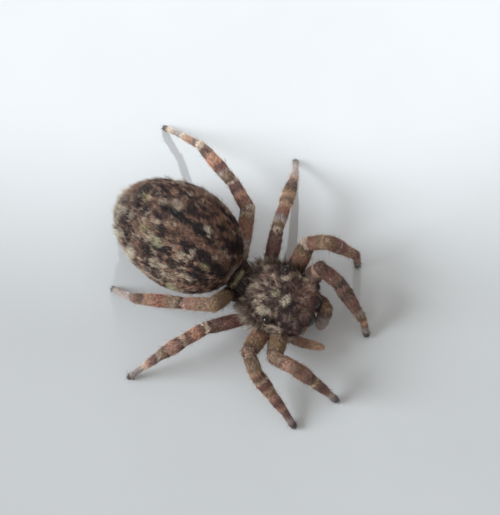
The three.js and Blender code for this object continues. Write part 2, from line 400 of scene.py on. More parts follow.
def ringed(spike: bmesh.types.BMesh, heights: Sequence[float]) -> None:
    """Cuts a ring of edges into a spike along Z at each height, so that it can bend there."""
    for height in heights:
        everything = spike.verts[:] + spike.edges[:] + spike.faces[:]
        bmesh.ops.bisect_plane(spike, geom=everything, plane_co=UP * height, plane_no=UP)


def linked(name: str, data: bpy.types.ID) -> bpy.types.Object:
    """A new object of the scene, at the origin."""
    made = bpy.data.objects.new(name, data)
    bpy.context.scene.collection.objects.link(made)
    return made


def finished(name: str, part: bmesh.types.BMesh, material: bpy.types.Material) -> bpy.types.Object:
    """Makes a bmesh in millimetres a smooth piece in metres, with its material.

    Args:
        name: The piece's name.
        part: Its shape, which is freed.
        material: Its finish.

    Returns:
        The new object, at the origin.
    """
    bmesh.ops.scale(part, vec=(MM, MM, MM), verts=part.verts)
    mesh = bpy.data.meshes.new(name)
    part.to_mesh(mesh)
    part.free()
    mesh.materials.append(material)
    mesh.shade_smooth()
    return linked(name, mesh)


def lengths(vectors: np.ndarray) -> np.ndarray:
    """The length of each row, never quite nothing."""
    return np.maximum(np.linalg.norm(vectors, axis=1), TINY)


def unit(vectors: np.ndarray) -> np.ndarray:
    """Each row made one long."""
    return vectors / lengths(vectors)[:, None]


def swung(lie: np.ndarray, normals: np.ndarray, degrees: np.ndarray) -> np.ndarray:
    """Lies laid flat on the skin and turned about its normals by some degrees.

    Args:
        lie: Which way hair would point, as rows of three.
        normals: The skin's normals.
        degrees: How far each is turned.

    Returns:
        Unit lies along the skin.
    """
    flat = unit(lie - (lie * normals).sum(axis=1)[:, None] * normals)
    turn = np.radians(degrees)[:, None]
    return flat * np.cos(turn) + np.cross(normals, flat) * np.sin(turn)


def spread_flat(away: np.ndarray, pole: int, widest: float) -> np.ndarray:
    """A dome's places laid flat round its pole, with the same step for each degree from it.

    Args:
        away: The way from the dome's middle to each place.
        pole: 1 where the pole is on top, -1 where it is below.
        widest: The turn from the pole that is laid at 1, as a share of half a circle.

    Returns:
        Two coordinates a row.
    """
    fall = np.arccos(np.clip(pole * away[:, 2] / lengths(away), -1, 1)) / (widest * math.pi)
    turn = np.arctan2(away[:, 1], away[:, 0])
    return np.stack([fall * np.cos(turn), fall * np.sin(turn)], axis=1)


# ------------------------------------------------------------------ parts of flesh


@dataclass(frozen=True)
class Fur:
    """How hair grows on a part.

    Attributes:
        length: Of a hair, in mm.
        width: Of a hair, in mm.
        lift: How steeply it leaves the skin, as height for each length.
        spread: Degrees that hairs stray from the lie of the coat.
        density: How closely they stand, beside other parts.
    """

    length: float
    width: float
    lift: float
    spread: float
    density: float = 1.0


@dataclass(frozen=True)
class Dressed:
    """What a part says of the hair at some roots.

    Attributes:
        colour: Linear colours, as rows of three.
        lie: Which way the hairs point, as rows of three.
        length: Of each hair, in mm.
        lift: How steeply each leaves the skin.
        width: Of each hair, in mm.
    """

    colour: np.ndarray
    lie: np.ndarray
    length: np.ndarray
    lift: np.ndarray
    width: np.ndarray


class Flesh:
    """A part of the body that the one skin covers."""

    name: str
    nodes: tuple[str, ...]
    fur: Fur

    def sculpt(self, clay: bmesh.types.BMesh) -> None:
        """Adds the part's closed shapes, in mm, to the clay that the remesh fuses."""
        raise NotImplementedError

    def nearness(self, points: np.ndarray) -> np.ndarray:
        """How far places are outside the part, in mm, below nothing inside it."""
        raise NotImplementedError

    def dressed(self, points: np.ndarray, normals: np.ndarray) -> Dressed:
        """The coat at places on the part."""
        raise NotImplementedError

    def chart(self, points: np.ndarray) -> np.ndarray:
        """Where places lie on an unwrap of the part, as rows of two from 0 to 1."""
        raise NotImplementedError

    def plain(self, points: np.ndarray, colour: np.ndarray, lie: np.ndarray, scale: np.ndarray) -> Dressed:
        """A coat of the part's own fur, with hairs scaled by a number a root."""
        return Dressed(
            colour,
            lie,
            self.fur.length * scale,
            np.full(len(points), self.fur.lift),
            np.full(len(points), self.fur.width),
        )


@dataclass(frozen=True)
class Barrel:
    """A round-ended segment that swells to a belly.

    Attributes:
        start: The middle of its near end.
        end: The middle of its far end.
        radii: Its radius at the near end, the belly and the far end.
    """

    start: Vector
    end: Vector
    radii: tuple[float, float, float]

    CAP_STEPS = 5
    SIDE_STEPS = 8
    FLATS = 20

    def radius(self, share: "float | np.ndarray") -> "float | np.ndarray":
        """How thick the barrel is at a share of its length."""
        near, belly, far = self.radii
        return near + (far - near) * share + (belly - (near + far) / 2) * np.sin(np.pi * share)

    def solid(self) -> bmesh.types.BMesh:
        """The barrel as a closed solid in its place."""
        near, _, far = self.radii
        span = self.end - self.start
        quarter = [i / self.CAP_STEPS * math.pi / 2 for i in range(self.CAP_STEPS)]
        profile = [(near * math.sin(a), -near * math.cos(a)) for a in quarter]
        for i in range(self.SIDE_STEPS + 1):
            share = i / self.SIDE_STEPS
            profile.append((self.radius(share), span.length * share))
        profile += [(far * math.sin(a), span.length + far * math.cos(a)) for a in reversed(quarter)]
        made = turned(profile, self.FLATS)
        bmesh.ops.transform(made, matrix=facing(span.normalized(), self.start), verts=made.verts)
        return made

    def along(self, points: np.ndarray) -> np.ndarray:
        """How far along the barrel places are: 0 at its start and 1 at its end, and past them."""
        span = np.array(self.end - self.start)
        return (points - np.array(self.start)) @ span / (span @ span)

    def nearness(self, points: np.ndarray) -> np.ndarray:
        """How far places are outside the barrel, in mm."""
        share = np.clip(self.along(points), 0, 1)
        axis = np.array(self.start) + share[:, None] * np.array(self.end - self.start)
        return np.linalg.norm(points - axis, axis=1) - self.radius(share)


# ------------------------------------------------------------------ abdomen


@dataclass(frozen=True)
class Abdomen(Flesh):
    """The swollen, spotted abdomen: an egg with a deeper back than belly, whose rear end sags."""

    body: BodyFrame
    middle: tuple[float, float, float] = (-2.84, 0.55, 1.25)
    half_length: float = 1.855
    half_width: float = 1.41
    back: float = 1.2
    belly: float = 1.05
    swing: float = 12.5
    sag: float = 0.2
    coat_depth: float = 0.075
    egg: float = 0.055
    name: str = "abdomen"
    nodes: tuple[str, ...] = ("abdomen",)
    fur: Fur = Fur(length=0.145, width=0.018, lift=0.45, spread=17)

    # Places are (back along the axis, to the left), as shares of the half sizes.
    DARK = (
        Spot((0.69, 0.30), (0.09, 0.12), Tint.INK, 20, 0.85),
        Spot((0.25, 0.15), (0.10, 0.10), Tint.INK, 0, 0.9),
        Spot((0.05, 0.17), (0.17, 0.10), Tint.INK, 8, 1.0),
        Spot((-0.04, 0.43), (0.09, 0.08), Tint.INK, 0, 0.8),
        Spot((-0.27, 0.17), (0.13, 0.10), Tint.INK, -10, 1.0),
        Spot((0.13, -0.22), (0.10, 0.08), Tint.INK, 0, 0.9),
        Spot((0.04, -0.50), (0.17, 0.07), Tint.INK, -4, 1.0),
        Spot((0.20, -0.64), (0.10, 0.06), Tint.INK, 0, 0.7),
        Spot((0.70, -0.34), (0.10, 0.13), Tint.UMBER, 0, 0.8),
        Spot((0.66, 0.02), (0.08, 0.15), Tint.INK, 0, 0.6),
        Spot((-0.56, -0.17), (0.13, 0.10), Tint.INK, 20, 0.95),
        Spot((-0.79, -0.20), (0.11, 0.10), Tint.INK, 20, 0.9),
        Spot((-0.65, -0.49), (0.13, 0.09), Tint.INK, 10, 0.8),
        Spot((-0.60, 0.40), (0.13, 0.10), Tint.INK, 0, 0.7),
        Spot((-0.55, 0.74), (0.12, 0.07), Tint.INK, 0, 0.8),
        Spot((-0.80, 0.36), (0.12, 0.16), Tint.INK, 0, 0.85),
        Spot((-0.22, -0.62), (0.10, 0.06), Tint.INK, 10, 0.8),
    )
    PALE = (
        Spot((0.15, 0.33), (0.088, 0.115), Tint.CREAM, 0, 0.75),
        Spot((0.36, 0.23), (0.070, 0.090), Tint.CREAM, 20, 0.68),
        Spot((0.59, 0.15), (0.055, 0.075), Tint.STRAW, 0, 0.8),
        Spot((-0.38, 0.26), (0.080, 0.060), Tint.PALE, -25, 1.0),
        Spot((-0.50, 0.34), (0.060, 0.050), Tint.ROSE, 0, 0.6),
        Spot((-0.40, -0.28), (0.045, 0.110), Tint.CREAM, -8, 0.9),
        Spot((-0.31, -0.39), (0.090, 0.045), Tint.CREAM, 30, 0.9),
        Spot((0.13, -0.44), (0.115, 0.080), Tint.SAGE, 14, 0.95),
        Spot((0.25, -0.47), (0.080, 0.050), Tint.CREAM, 10, 0.8),
        Spot((0.37, -0.36), (0.065, 0.095), Tint.STRAW, 30, 0.8),
        Spot((0.62, -0.26), (0.050, 0.070), Tint.CREAM, 0, 0.7),
        Spot((0.82, -0.23), (0.100, 0.090), Tint.PALE, 0, 0.85),
        Spot((0.80, -0.44), (0.050, 0.160), Tint.PALE, 0, 0.8),
        Spot((0.70, -0.62), (0.110, 0.110), Tint.PALE, 0, 1.0),
        Spot((0.40, -0.82), (0.120, 0.090), Tint.PALE, 10, 0.95),
        Spot((-0.02, -0.75), (0.090, 0.070), Tint.CREAM, 0, 0.75),
        Spot((0.12, -0.97), (0.140, 0.050), Tint.CREAM, 0, 0.8),
        Spot((-0.25, -0.80), (0.130, 0.045), Tint.CREAM, -8, 0.8),
        Spot((-0.50, -0.64), (0.110, 0.050), Tint.CREAM, -12, 0.8),
        Spot((-0.40, -0.90), (0.110, 0.045), Tint.SAGE, 0, 0.8),
        Spot((-0.64, -0.31), (0.060, 0.050), Tint.STRAW, 0, 0.7),
        Spot((-0.70, -0.05), (0.035, 0.060), Tint.CREAM, 0, 0.6),
        Spot((0.39, 0.78), (0.130, 0.060), Tint.CREAM, 0, 0.8),
        Spot((0.06, 0.80), (0.100, 0.055), Tint.TAN, 0, 0.7),
        Spot((0.79, 0.02), (0.090, 0.090), Tint.GREY, 0, 0.7),
        Spot((0.84, 0.26), (0.060, 0.180), Tint.ROSE, 0, 0.8),
        Spot((-0.12, 0.02), (0.070, 0.060), Tint.GREY, 0, 0.4),
        Spot((-0.61, 0.17), (0.060, 0.050), Tint.TAN, 0, 0.8),
        Spot((-0.36, 0.46), (0.070, 0.060), Tint.ROSE, 0, 0.7),
        Spot((-0.97, -0.10), (0.050, 0.170), Tint.CREAM, 0, 0.8),
        Spot((-0.66, 0.42), (0.100, 0.060), Tint.TAN, -20, 0.75),
        Spot((-0.30, 0.66), (0.120, 0.060), Tint.TAN, -20, 0.6),
    )
    STRIPE = (
        Spot((-0.80, -0.02), (0.200, 0.070), Tint.ROSE, 4, 0.7),
        Spot((-0.48, -0.03), (0.360, 0.085), Tint.ROSE, 2, 0.9),
        Spot((-0.60, -0.02), (0.200, 0.035), Tint.TAN, 2, 0.7),
        Spot((-0.16, -0.04), (0.130, 0.080), Tint.ROSE, 0, 0.7),
    )

    LOCK = (0.17, 0.085, 0.085)
    TONES = (
        (0.22, Tint.INK),
        (0.36, Tint.UMBER),
        (0.52, Tint.COCOA),
        (0.64, Tint.ROSE),
        (0.80, Tint.TAN),
        (0.96, Tint.CREAM),
    )
    BELLY_TONES = ((0.2, Tint.COCOA), (0.5, Tint.GREY), (0.9, Tint.CREAM))
    FLECK_COVER = 0.75
    FLANK_COVER = 0.6
    BELLY_COVER = 0.85
    FRINGE_COVER = 0.8
    BORDER_SHADE = 0.45
    RAGGED = 0.5
    SPOTS_ABOVE = -0.15
    TURN = 40
    SPHERE_STEPS = (64, 44)
    SIDE_COAT = 0.8
    REAR_COAT = 0.4

    def to_row(self) -> Matrix:
        """The move from the abdomen's axes (left, back, up) to its place in the row's frame."""
        turn = Matrix.Rotation(-math.radians(self.swing), 4, "Z")
        return Matrix.Translation(self.body.at(*self.middle)) @ turn

    def bend(self, sphere: Vector) -> Vector:
        """Where a point of a unit sphere, with its pole to the rear, lies on the skin."""
        across, up, along = sphere.x, -sphere.y, sphere.z
        width = self.half_width - self.coat_depth * self.SIDE_COAT
        depth = (self.back if up > 0 else self.belly) - self.coat_depth
        drop = self.sag * along**2 if along > 0 else 0.0
        return Vector(
            (
                across * width * (1 - self.egg * along),
                along * (self.half_length - self.coat_depth) - self.coat_depth * self.REAR_COAT,
                up * depth - drop,
            )
        )

    def sculpt(self, clay: bmesh.types.BMesh) -> None:
        """Adds the egg."""
        added(clay, bent_sphere(self.SPHERE_STEPS, self.bend), self.to_row())

    def own(self, points: np.ndarray) -> np.ndarray:
        """(back, left, up) of places, as shares of the half sizes."""
        turn = np.array(self.to_row().inverted())
        local = points @ turn[:3, :3].T + turn[:3, 3]
        along = local[:, 1] / self.half_length
        height = local[:, 2] + self.sag * np.maximum(along, 0) ** 2
        depth = np.where(height > 0, self.back, self.belly)
        return np.stack([along, local[:, 0] / self.half_width, height / depth], axis=1)

    def in_mm(self, own: np.ndarray) -> np.ndarray:
        """Shares of the half sizes as millimetres."""
        return own * [self.half_length, self.half_width, self.back]

    def nearness(self, points: np.ndarray) -> np.ndarray:
        """How far places are outside the egg, in mm."""
        own = self.own(points)
        size = lengths(own)
        inset = self.coat_depth / self.half_width
        return (size - 1 + inset) * lengths(self.in_mm(own)) / size

    def mottled(self, own: np.ndarray, locks: Locks) -> np.ndarray:
        """The colours under the spots: dark and pale locks, with paler flanks and belly."""
        mm = self.in_mm(own)
        tone = 0.66 * locks.share(Salt.BACK_TONE) + 0.34 * noise(mm, 0.24, Salt.BACK_FINE)
        tone += 0.24 * (noise(mm, 0.7, Salt.BACK_BROAD) - 0.5)
        fleck = smooth_step(locks.share(Salt.BACK_FLECK), 0.86, 0.94) * (1 - locks.border)
        colour = blended(graded(tone, self.TONES), Tint.CREAM, fleck * self.FLECK_COVER)
        flank = smooth_step(np.abs(own[:, 1]), 0.72, 0.95) * smooth_step(own[:, 2], -0.5, 0.1)
        pale = smooth_step(locks.share(Salt.BACK_FLANK), 0.55, 0.75)
        colour = blended(colour, Tint.CREAM, flank * pale * self.FLANK_COVER)
        belly = smooth_step(-own[:, 2], 0.25, 0.75)
        return blended(colour, graded(tone, self.BELLY_TONES), belly * self.BELLY_COVER)

    def dressed(self, points: np.ndarray, normals: np.ndarray) -> Dressed:
        """Mottled locks that lie to the rear, with pale and dark spots on the back."""
        own = self.own(points)
        locks = Locks.of(self.in_mm(own), self.LOCK)
        colour = self.mottled(own, locks)
        ragged = self.RAGGED * (noise(self.in_mm(own), 0.09, Salt.BACK_EDGE) - 0.5)
        top = own[:, 2] > self.SPOTS_ABOVE
        spots = (*self.STRIPE, *self.DARK, *self.PALE)
        colour[top] = spotted(colour[top], spots, own[top, :2], ragged[top])
        fringe = smooth_step(own[:, 0], 0.84, 0.95) * smooth_step(own[:, 2], -0.4, 0.0)
        colour = blended(colour, Tint.PALE, fringe * self.FRINGE_COVER)
        colour = colour * (1 - self.BORDER_SHADE * locks.border * (1 - fringe))[:, None]
        rear = np.array(self.to_row().to_3x3() @ Vector((0, 1, 0)))
        lie = np.tile(rear, (len(points), 1))
        lie = swung(lie, normals, (locks.share(Salt.BACK_TURN) - 0.5) * self.TURN)
        made = self.plain(points, colour, lie, locks.about(Salt.BACK_LENGTH, 0.8, 0.4))
        lift = made.lift * locks.about(Salt.BACK_LIFT, 0.7, 0.6) * (1 + 0.6 * fringe)
        return replace(made, lift=lift)

    def at_tail(self, points: np.ndarray) -> np.ndarray:
        """Which places are on the rear end, or here and there elsewhere on the back."""
        own = self.own(points)
        return smooth_step(own[:, 0], 0.45, 0.85) * (own[:, 2] > -0.5) + 0.12 * (own[:, 2] > 0)

    def chart(self, points: np.ndarray) -> np.ndarray:
        """Turns round the long axis for one coordinate, and along it for the other."""
        own = self.own(points)
        turn = np.arctan2(own[:, 1], own[:, 2]) / math.tau + 0.5
        return np.stack([turn, np.arccos(np.clip(own[:, 0], -1, 1)) / math.pi], axis=1)


# ------------------------------------------------------------------ head and thorax


@dataclass(frozen=True)
class Eye:
    """One pair of eyes: where the left one is, and how the lens looks out."""

    name: str
    forward: float
    side: float
    up: float
    radius: float
    gaze: tuple[float, float, float]
    rim: float

    def middle(self, body: BodyFrame, hand: int) -> Vector:
        """The middle of the lens on one side."""
        return body.at(self.forward, hand * self.side, self.up)

    def look(self, hand: int) -> Vector:
        """The way that the lens on one side looks."""
        forward, out, up = self.gaze
        return Vector((hand * out, -forward, up)).normalized()


EYES = (
    Eye("anterior_median", 1.15, 0.235, 1.06, 0.215, (1.0, 0.06, 0.05), 0.03),
    Eye("anterior_lateral", 1.04, 0.6, 1.14, 0.13, (0.9, 0.42, 0.12), 0.025),
    Eye("posterior_median", 0.6, 0.72, 1.3, 0.06, (0.15, 0.85, 0.5), 0.02),
    Eye("posterior_lateral", 0.19, 0.72, 1.34, 0.125, (-0.1, 0.85, 0.55), 0.022),
)


@dataclass(frozen=True)
class Carapace(Flesh):
    """The head and thorax in one: a squared dome with the eyes round its front and sides."""

    body: BodyFrame
    eyes: tuple[Eye, ...] = EYES
    front: float = 1.31
    rear: float = -0.86
    half_width: float = 0.91
    face_half_width: float = 0.82
    rim_height: float = 0.76
    crown_height: float = 1.54
    brow_height: float = 1.36
    nape_height: float = 1.02
    face_squareness: float = 3.4
    nape_squareness: float = 2.1
    wall_squareness: float = 2.7
    whorl: float = 0.3
    coat_depth: float = 0.05
    name: str = "carapace"
    nodes: tuple[str, ...] = ("carapace",)
    fur: Fur = Fur(length=0.145, width=0.018, lift=0.6, spread=20)

    # Places are (forward, left), in mm.
    MARKS = (
        Spot((0.82, -0.48), (0.40, 0.36), Tint.UMBER, 0, 0.72),
        Spot((0.92, 0.22), (0.30, 0.36), Tint.PLUM, 0, 0.5),
        Spot((0.62, 0.30), (0.22, 0.20), Tint.BROWN, 0, 0.55),
        Spot((0.19, -0.28), (0.17, 0.16), Tint.UMBER, 0, 0.85),
        Spot((0.33, 0.16), (0.12, 0.20), Tint.UMBER, 0, 0.8),
        Spot((0.66, -0.10), (0.10, 0.09), Tint.INK, 0, 1.0),
        Spot((0.60, -0.27), (0.08, 0.14), Tint.INK, 0, 0.8),
        Spot((0.12, 0.60), (0.16, 0.12), Tint.UMBER, 0, 0.8),
        Spot((-0.37, -0.15), (0.16, 0.10), Tint.UMBER, 0, 0.5),
        Spot((-0.45, 0.33), (0.09, 0.12), Tint.UMBER, 0, 0.7),
        Spot((0.475, -0.095), (0.18, 0.10), Tint.PALE, 72, 0.9),
        Spot((0.15, -0.04), (0.11, 0.08), Tint.SAGE, 20, 0.9),
        Spot((0.04, -0.55), (0.15, 0.11), Tint.PALE, 10, 0.85),
        Spot((0.24, 0.46), (0.12, 0.07), Tint.CREAM, 20, 0.9),
        Spot((-0.50, 0.05), (0.20, 0.05), Tint.CREAM, 25, 0.7),
        Spot((-0.45, 0.58), (0.16, 0.06), Tint.CREAM, -30, 0.7),
        Spot((-0.60, -0.10), (0.14, 0.04), Tint.CREAM, 10, 0.7),
        Spot((-0.36, 0.30), (0.12, 0.06), Tint.ROSE, 30, 0.8),
        Spot((0.85, 0.42), (0.14, 0.10), Tint.ROSE, 0, 0.6),
        Spot((0.45, -0.86), (0.30, 0.12), Tint.CREAM, 0, 0.85),
        Spot((0.20, -0.88), (0.22, 0.07), Tint.CREAM, 0, 0.7),
    )

    # At the nape, the near-black spot and the plum one are painted shade in the gap by the waist; the sage
    # one is the hair's own colour.
    NAPE_SHADE_AND_MARKS = (
        Spot((-0.88, 0.02), (0.27, 0.33), Tint.INK, 0, 0.9),
        Spot((-0.74, -0.36), (0.12, 0.12), Tint.PLUM, 0, 0.7),
        Spot((-0.80, 0.50), (0.16, 0.13), Tint.SAGE, 0, 0.9),
    )

    LOCK = (0.15, 0.06, 0.16)
    LOCK_TURN = 0.6
    TONES = ((0.22, Tint.INK), (0.36, Tint.UMBER), (0.52, Tint.COCOA), (0.68, Tint.GREY), (0.95, Tint.CREAM))
    HEM_TONES = ((0.18, Tint.BROWN), (0.4, Tint.GREY), (0.62, Tint.ASH), (0.85, Tint.CREAM))
    FACE_TONES = ((0.2, Tint.ROSE), (0.5, Tint.TAN), (0.9, Tint.PALE))
    RING_TONES = ((0.0, Tint.BROWN), (0.18, Tint.PLUM), (0.35, Tint.TAN))
    RING_TOP = 1.3
    HEM_COVER = 0.75
    FACE_COVER = 0.8
    RING_COVER = 0.7
    DARK_RING_COVER = 0.8
    BORDER_SHADE = 0.4
    RAGGED = 0.6
    SPOTS_ABOVE = 0.8
    TURN = 50
    LIE_FROM = (0.35, 0.0, 0.6)
    LIE_BACK = 0.45
    FACE_LIE = (0.0, -0.35, -1.0)
    BROW_LIE = (0.0, -1.0, 0.25)
    BROW_CURVE = 2.4
    NAPE_CURVE = 1.7
    HEM_TUCK = 0.97
    HEM_DROP = 0.16
    HEM_CURVE = 0.8
    FOVEA_BACK = 0.18
    FOVEA_SIZE = (0.07, 0.16)
    FOVEA_DEPTH = 0.05
    FOVEA_ABOVE = 0.3
    SPHERE_STEPS = (72, 48)
    MOUND_STEPS = (19, 28)
    MOUND_INSET = 0.35
    BELOW_RIM = 3.5
    DOME_EDGE = 0.95
    DOME_SCALE = 0.8
    LENS_OUT = 0.6
    CHART_MIDDLE = 0.4
    CHART_REACH = 0.39
    CHART_WIDEST = 0.62

    def sockets(self) -> Iterable[tuple[Eye, int]]:
        """Each eye of each side, with its side."""
        return itertools.product(self.eyes, HANDS.values())

    def level_reach(self, outward: Vector) -> Vector:
        """Where a unit direction from the rim's middle meets the dome, or the hem below the rim."""
        middle, half_length = (self.front + self.rear) / 2, (self.front - self.rear) / 2
        level = math.hypot(outward.x, outward.y) or TINY
        plan = self.face_squareness if outward.y < 0 else self.nape_squareness

        def rounded(value: float, exponent: float) -> float:
            return math.copysign(abs(value) ** (2 / exponent), value)

        reach = rounded(level, self.wall_squareness)
        forward = middle - half_length * reach * rounded(outward.y / level, plan)
        ahead = max(forward, 0) / self.front
        width = self.half_width - (self.half_width - self.face_half_width) * ahead**2
        side = width * reach * rounded(outward.x / level, plan)
        if outward.z <= 0:
            drop = self.HEM_DROP * (-outward.z) ** self.HEM_CURVE
            return Vector((side * self.HEM_TUCK, -forward, self.rim_height - drop))
        if forward > 0:
            fall = (self.crown_height - self.brow_height) * ahead**self.BROW_CURVE
        else:
            fall = (self.crown_height - self.nape_height) * (forward / self.rear) ** self.NAPE_CURVE
        rise = (self.crown_height - fall - self.rim_height) * outward.z ** (2 / self.wall_squareness)
        return Vector((side, -forward, self.rim_height + rise))

    def bend(self, sphere: Vector) -> Vector:
        """Where a point of a unit sphere lies on the skin, in by the coat's depth."""
        inward = Vector((sphere.x, sphere.y, max(sphere.z, 0.0))) * self.coat_depth
        place = self.level_reach(sphere) - inward
        wide, long = self.FOVEA_SIZE
        fovea = math.exp(-((place.x / wide) ** 2 + ((place.y - self.FOVEA_BACK) / long) ** 2))
        if sphere.z > self.FOVEA_ABOVE:
            place.z -= self.FOVEA_DEPTH * fovea
        return place + Vector((self.body.across, self.body.along, 0))

    def sculpt(self, clay: bmesh.types.BMesh) -> None:
        """Adds the dome, and a mound with a raised rim round each eye."""
        added(clay, bent_sphere(self.SPHERE_STEPS, self.bend))
        points, flats = self.MOUND_STEPS
        for eye, hand in self.sockets():
            look, middle = eye.look(hand), eye.middle(self.body, hand)
            radius = eye.radius + eye.rim
            mound = [(radius * math.sin(a), -radius * math.cos(a)) for a in np.linspace(0, math.pi, points)]
            inset = look * (eye.radius * self.MOUND_INSET + eye.rim)
            added(clay, turned(mound, flats), facing(look, middle - inset))

    def nearness(self, points: np.ndarray) -> np.ndarray:
        """How far places are outside the dome, in mm, roughly."""
        own = self.body.own(points)
        middle = (self.front + self.rear) / 2
        half = np.array([(self.front - self.rear) / 2, self.half_width, self.crown_height - self.rim_height])
        away = (own - [middle, 0, self.rim_height]) / half
        away[:, 2] = np.where(away[:, 2] < 0, away[:, 2] * self.BELOW_RIM, away[:, 2])
        size = (np.abs(away) ** self.wall_squareness).sum(axis=1) ** (1 / self.wall_squareness)
        nearest = (size - self.DOME_EDGE) * self.DOME_SCALE
        for eye, hand in self.sockets():
            gap = lengths(points - np.array(eye.middle(self.body, hand))) - eye.radius - eye.rim
            nearest = np.minimum(nearest, gap)
        return nearest

    def on_brow(self, points: np.ndarray) -> np.ndarray:
        """Which places are on the brow, over the front eyes."""
        own = self.body.own(points)
        return ((own[:, 0] > 0.9) & (own[:, 2] > 1.27)).astype(float)

    def on_hem(self, points: np.ndarray) -> np.ndarray:
        """Which places are low on the sides and the rear, but not on the nape."""
        own = self.body.own(points)
        low = (own[:, 2] > 0.75) & (own[:, 2] < 1.15)
        nape = (own[:, 0] < -0.5) & (np.abs(own[:, 1]) < 0.5)
        return (low & (own[:, 0] < 0.75) & ~nape) * (0.4 + 0.6 * (own[:, 0] < 0.0))

    def eye_share(self, points: np.ndarray) -> tuple[np.ndarray, np.ndarray]:
        """How close places are to an eye.

        Args:
            points: Places on the skin.

        Returns:
            The gap to the nearest lens in its radii, and the way away from it.
        """
        best = np.full(len(points), np.inf)
        away = np.zeros_like(points)
        for eye, hand in self.sockets():
            front = eye.middle(self.body, hand) + eye.look(hand) * eye.radius * self.LENS_OUT
            step = points - np.array(front)
            gap = lengths(step) / eye.radius - 1
            nearer = gap < best
            best[nearer], away[nearer] = gap[nearer], step[nearer]
        return best, unit(away)

    def locks(self, own: np.ndarray) -> Locks:
        """The locks of the coat, which run outward from the whorl."""
        ahead = own[:, 0] - self.whorl
        turn = np.arctan2(own[:, 1], ahead) * self.LOCK_TURN
        return Locks.of(np.stack([np.hypot(ahead, own[:, 1]), turn, own[:, 2]], axis=1), self.LOCK)

    def coloured(self, own: np.ndarray, locks: Locks, face: np.ndarray, gap: np.ndarray) -> np.ndarray:
        """The markings: mottled locks, spots, a pale hem and face, rings round the eyes, and painted shade at
        the nape.

        Args:
            own: Places in the body's frame.
            locks: Their locks.
            face: How far each is on the face, from 0 to 1.
            gap: How far each is from the nearest lens, in its radii.

        Returns:
            Linear colours, as rows of three.
        """
        forward, height = own[:, 0], own[:, 2]
        rear = smooth_step(-forward, -0.2, 0.35)
        tone = 0.66 * locks.share(Salt.HEAD_TONE) + 0.34 * noise(own, 0.2, Salt.HEAD_FINE) + 0.1 * rear
        colour = graded(tone, self.TONES)
        ragged = self.RAGGED * (noise(own, 0.08, Salt.HEAD_EDGE) - 0.5)
        top = height > self.SPOTS_ABOVE
        colour[top] = spotted(colour[top], self.MARKS, own[top, :2], ragged[top])
        hem = (1 - smooth_step(height, 0.95, 1.25)) * (1 - smooth_step(forward, 0.5, 0.9))
        colour = blended(colour, graded(tone, self.HEM_TONES), hem * self.HEM_COVER)
        colour = blended(colour, graded(tone, self.FACE_TONES), face * self.FACE_COVER)
        # Painted shade at the nape, in the gap by the waist, with a sage patch of the hair's own colour.
        colour = spotted(colour, self.NAPE_SHADE_AND_MARKS, own[:, :2], ragged)
        light = 1.12 + 0.35 * smooth_step(forward, 0.3, 1.0)
        colour = colour * (light * (1 - self.BORDER_SHADE * locks.border))[:, None]
        ring = (1 - smooth_step(gap, 0.25, 0.8)) * smooth_step(forward, 0.8, 1.1)
        colour = blended(colour, graded(self.RING_TOP - height, self.RING_TONES), ring * self.RING_COVER)
        dark_ring = (1 - smooth_step(gap, 0.1, 0.5)) * (1 - smooth_step(forward, 0.5, 0.8))
        return blended(colour, Tint.INK, dark_ring * self.DARK_RING_COVER)

    def dressed(self, points: np.ndarray, normals: np.ndarray) -> Dressed:
        """Grey-brown locks that lie outward and back, with cream patches between and behind the eyes."""
        own = self.body.own(points)
        locks = self.locks(own)
        forward, height = own[:, 0], own[:, 2]
        face = smooth_step(forward, 1.0, 1.2) * (1 - smooth_step(height, 0.95, 1.1))
        brow = smooth_step(forward, 0.75, 0.95) * smooth_step(height, 1.24, 1.32)
        ocular = smooth_step(forward, 0.35, 0.7) * smooth_step(height, 1.2, 1.35)
        gap, away = self.eye_share(points)
        near_eye = 1 - smooth_step(gap, 0.3, 1.4)
        colour = self.coloured(own, locks, face, gap)
        lie = unit(points - np.array(self.body.at(*self.LIE_FROM)))
        lie[:, 1] += self.LIE_BACK
        lie = blended(lie, self.FACE_LIE, face * 0.8)
        lie = blended(blended(lie, away * 2, near_eye), self.BROW_LIE, brow)
        scale = locks.about(Salt.HEAD_LENGTH, 0.75, 0.5) * (1 - 0.45 * face)
        made = self.plain(points, colour, lie, scale * (1 - 0.4 * near_eye * (1 - brow)))
        lift = made.lift * locks.about(Salt.HEAD_LIFT, 0.7, 0.6) * (1 - 0.4 * ocular + 0.3 * brow)
        lie = swung(lie, normals, (locks.share(Salt.HEAD_TURN) - 0.5) * self.TURN)
        return Dressed(colour, lie, made.length * (1 - 0.25 * ocular), lift, made.width * (1 - 0.2 * face))

    def chart(self, points: np.ndarray) -> np.ndarray:
        """Spreads the dome flat from its crown."""
        away = self.body.own(points) - [(self.front + self.rear) / 2, 0, self.rim_height - 0.1]
        return self.CHART_MIDDLE + self.CHART_REACH * spread_flat(away, 1, self.CHART_WIDEST)


# ------------------------------------------------------------------ limbs


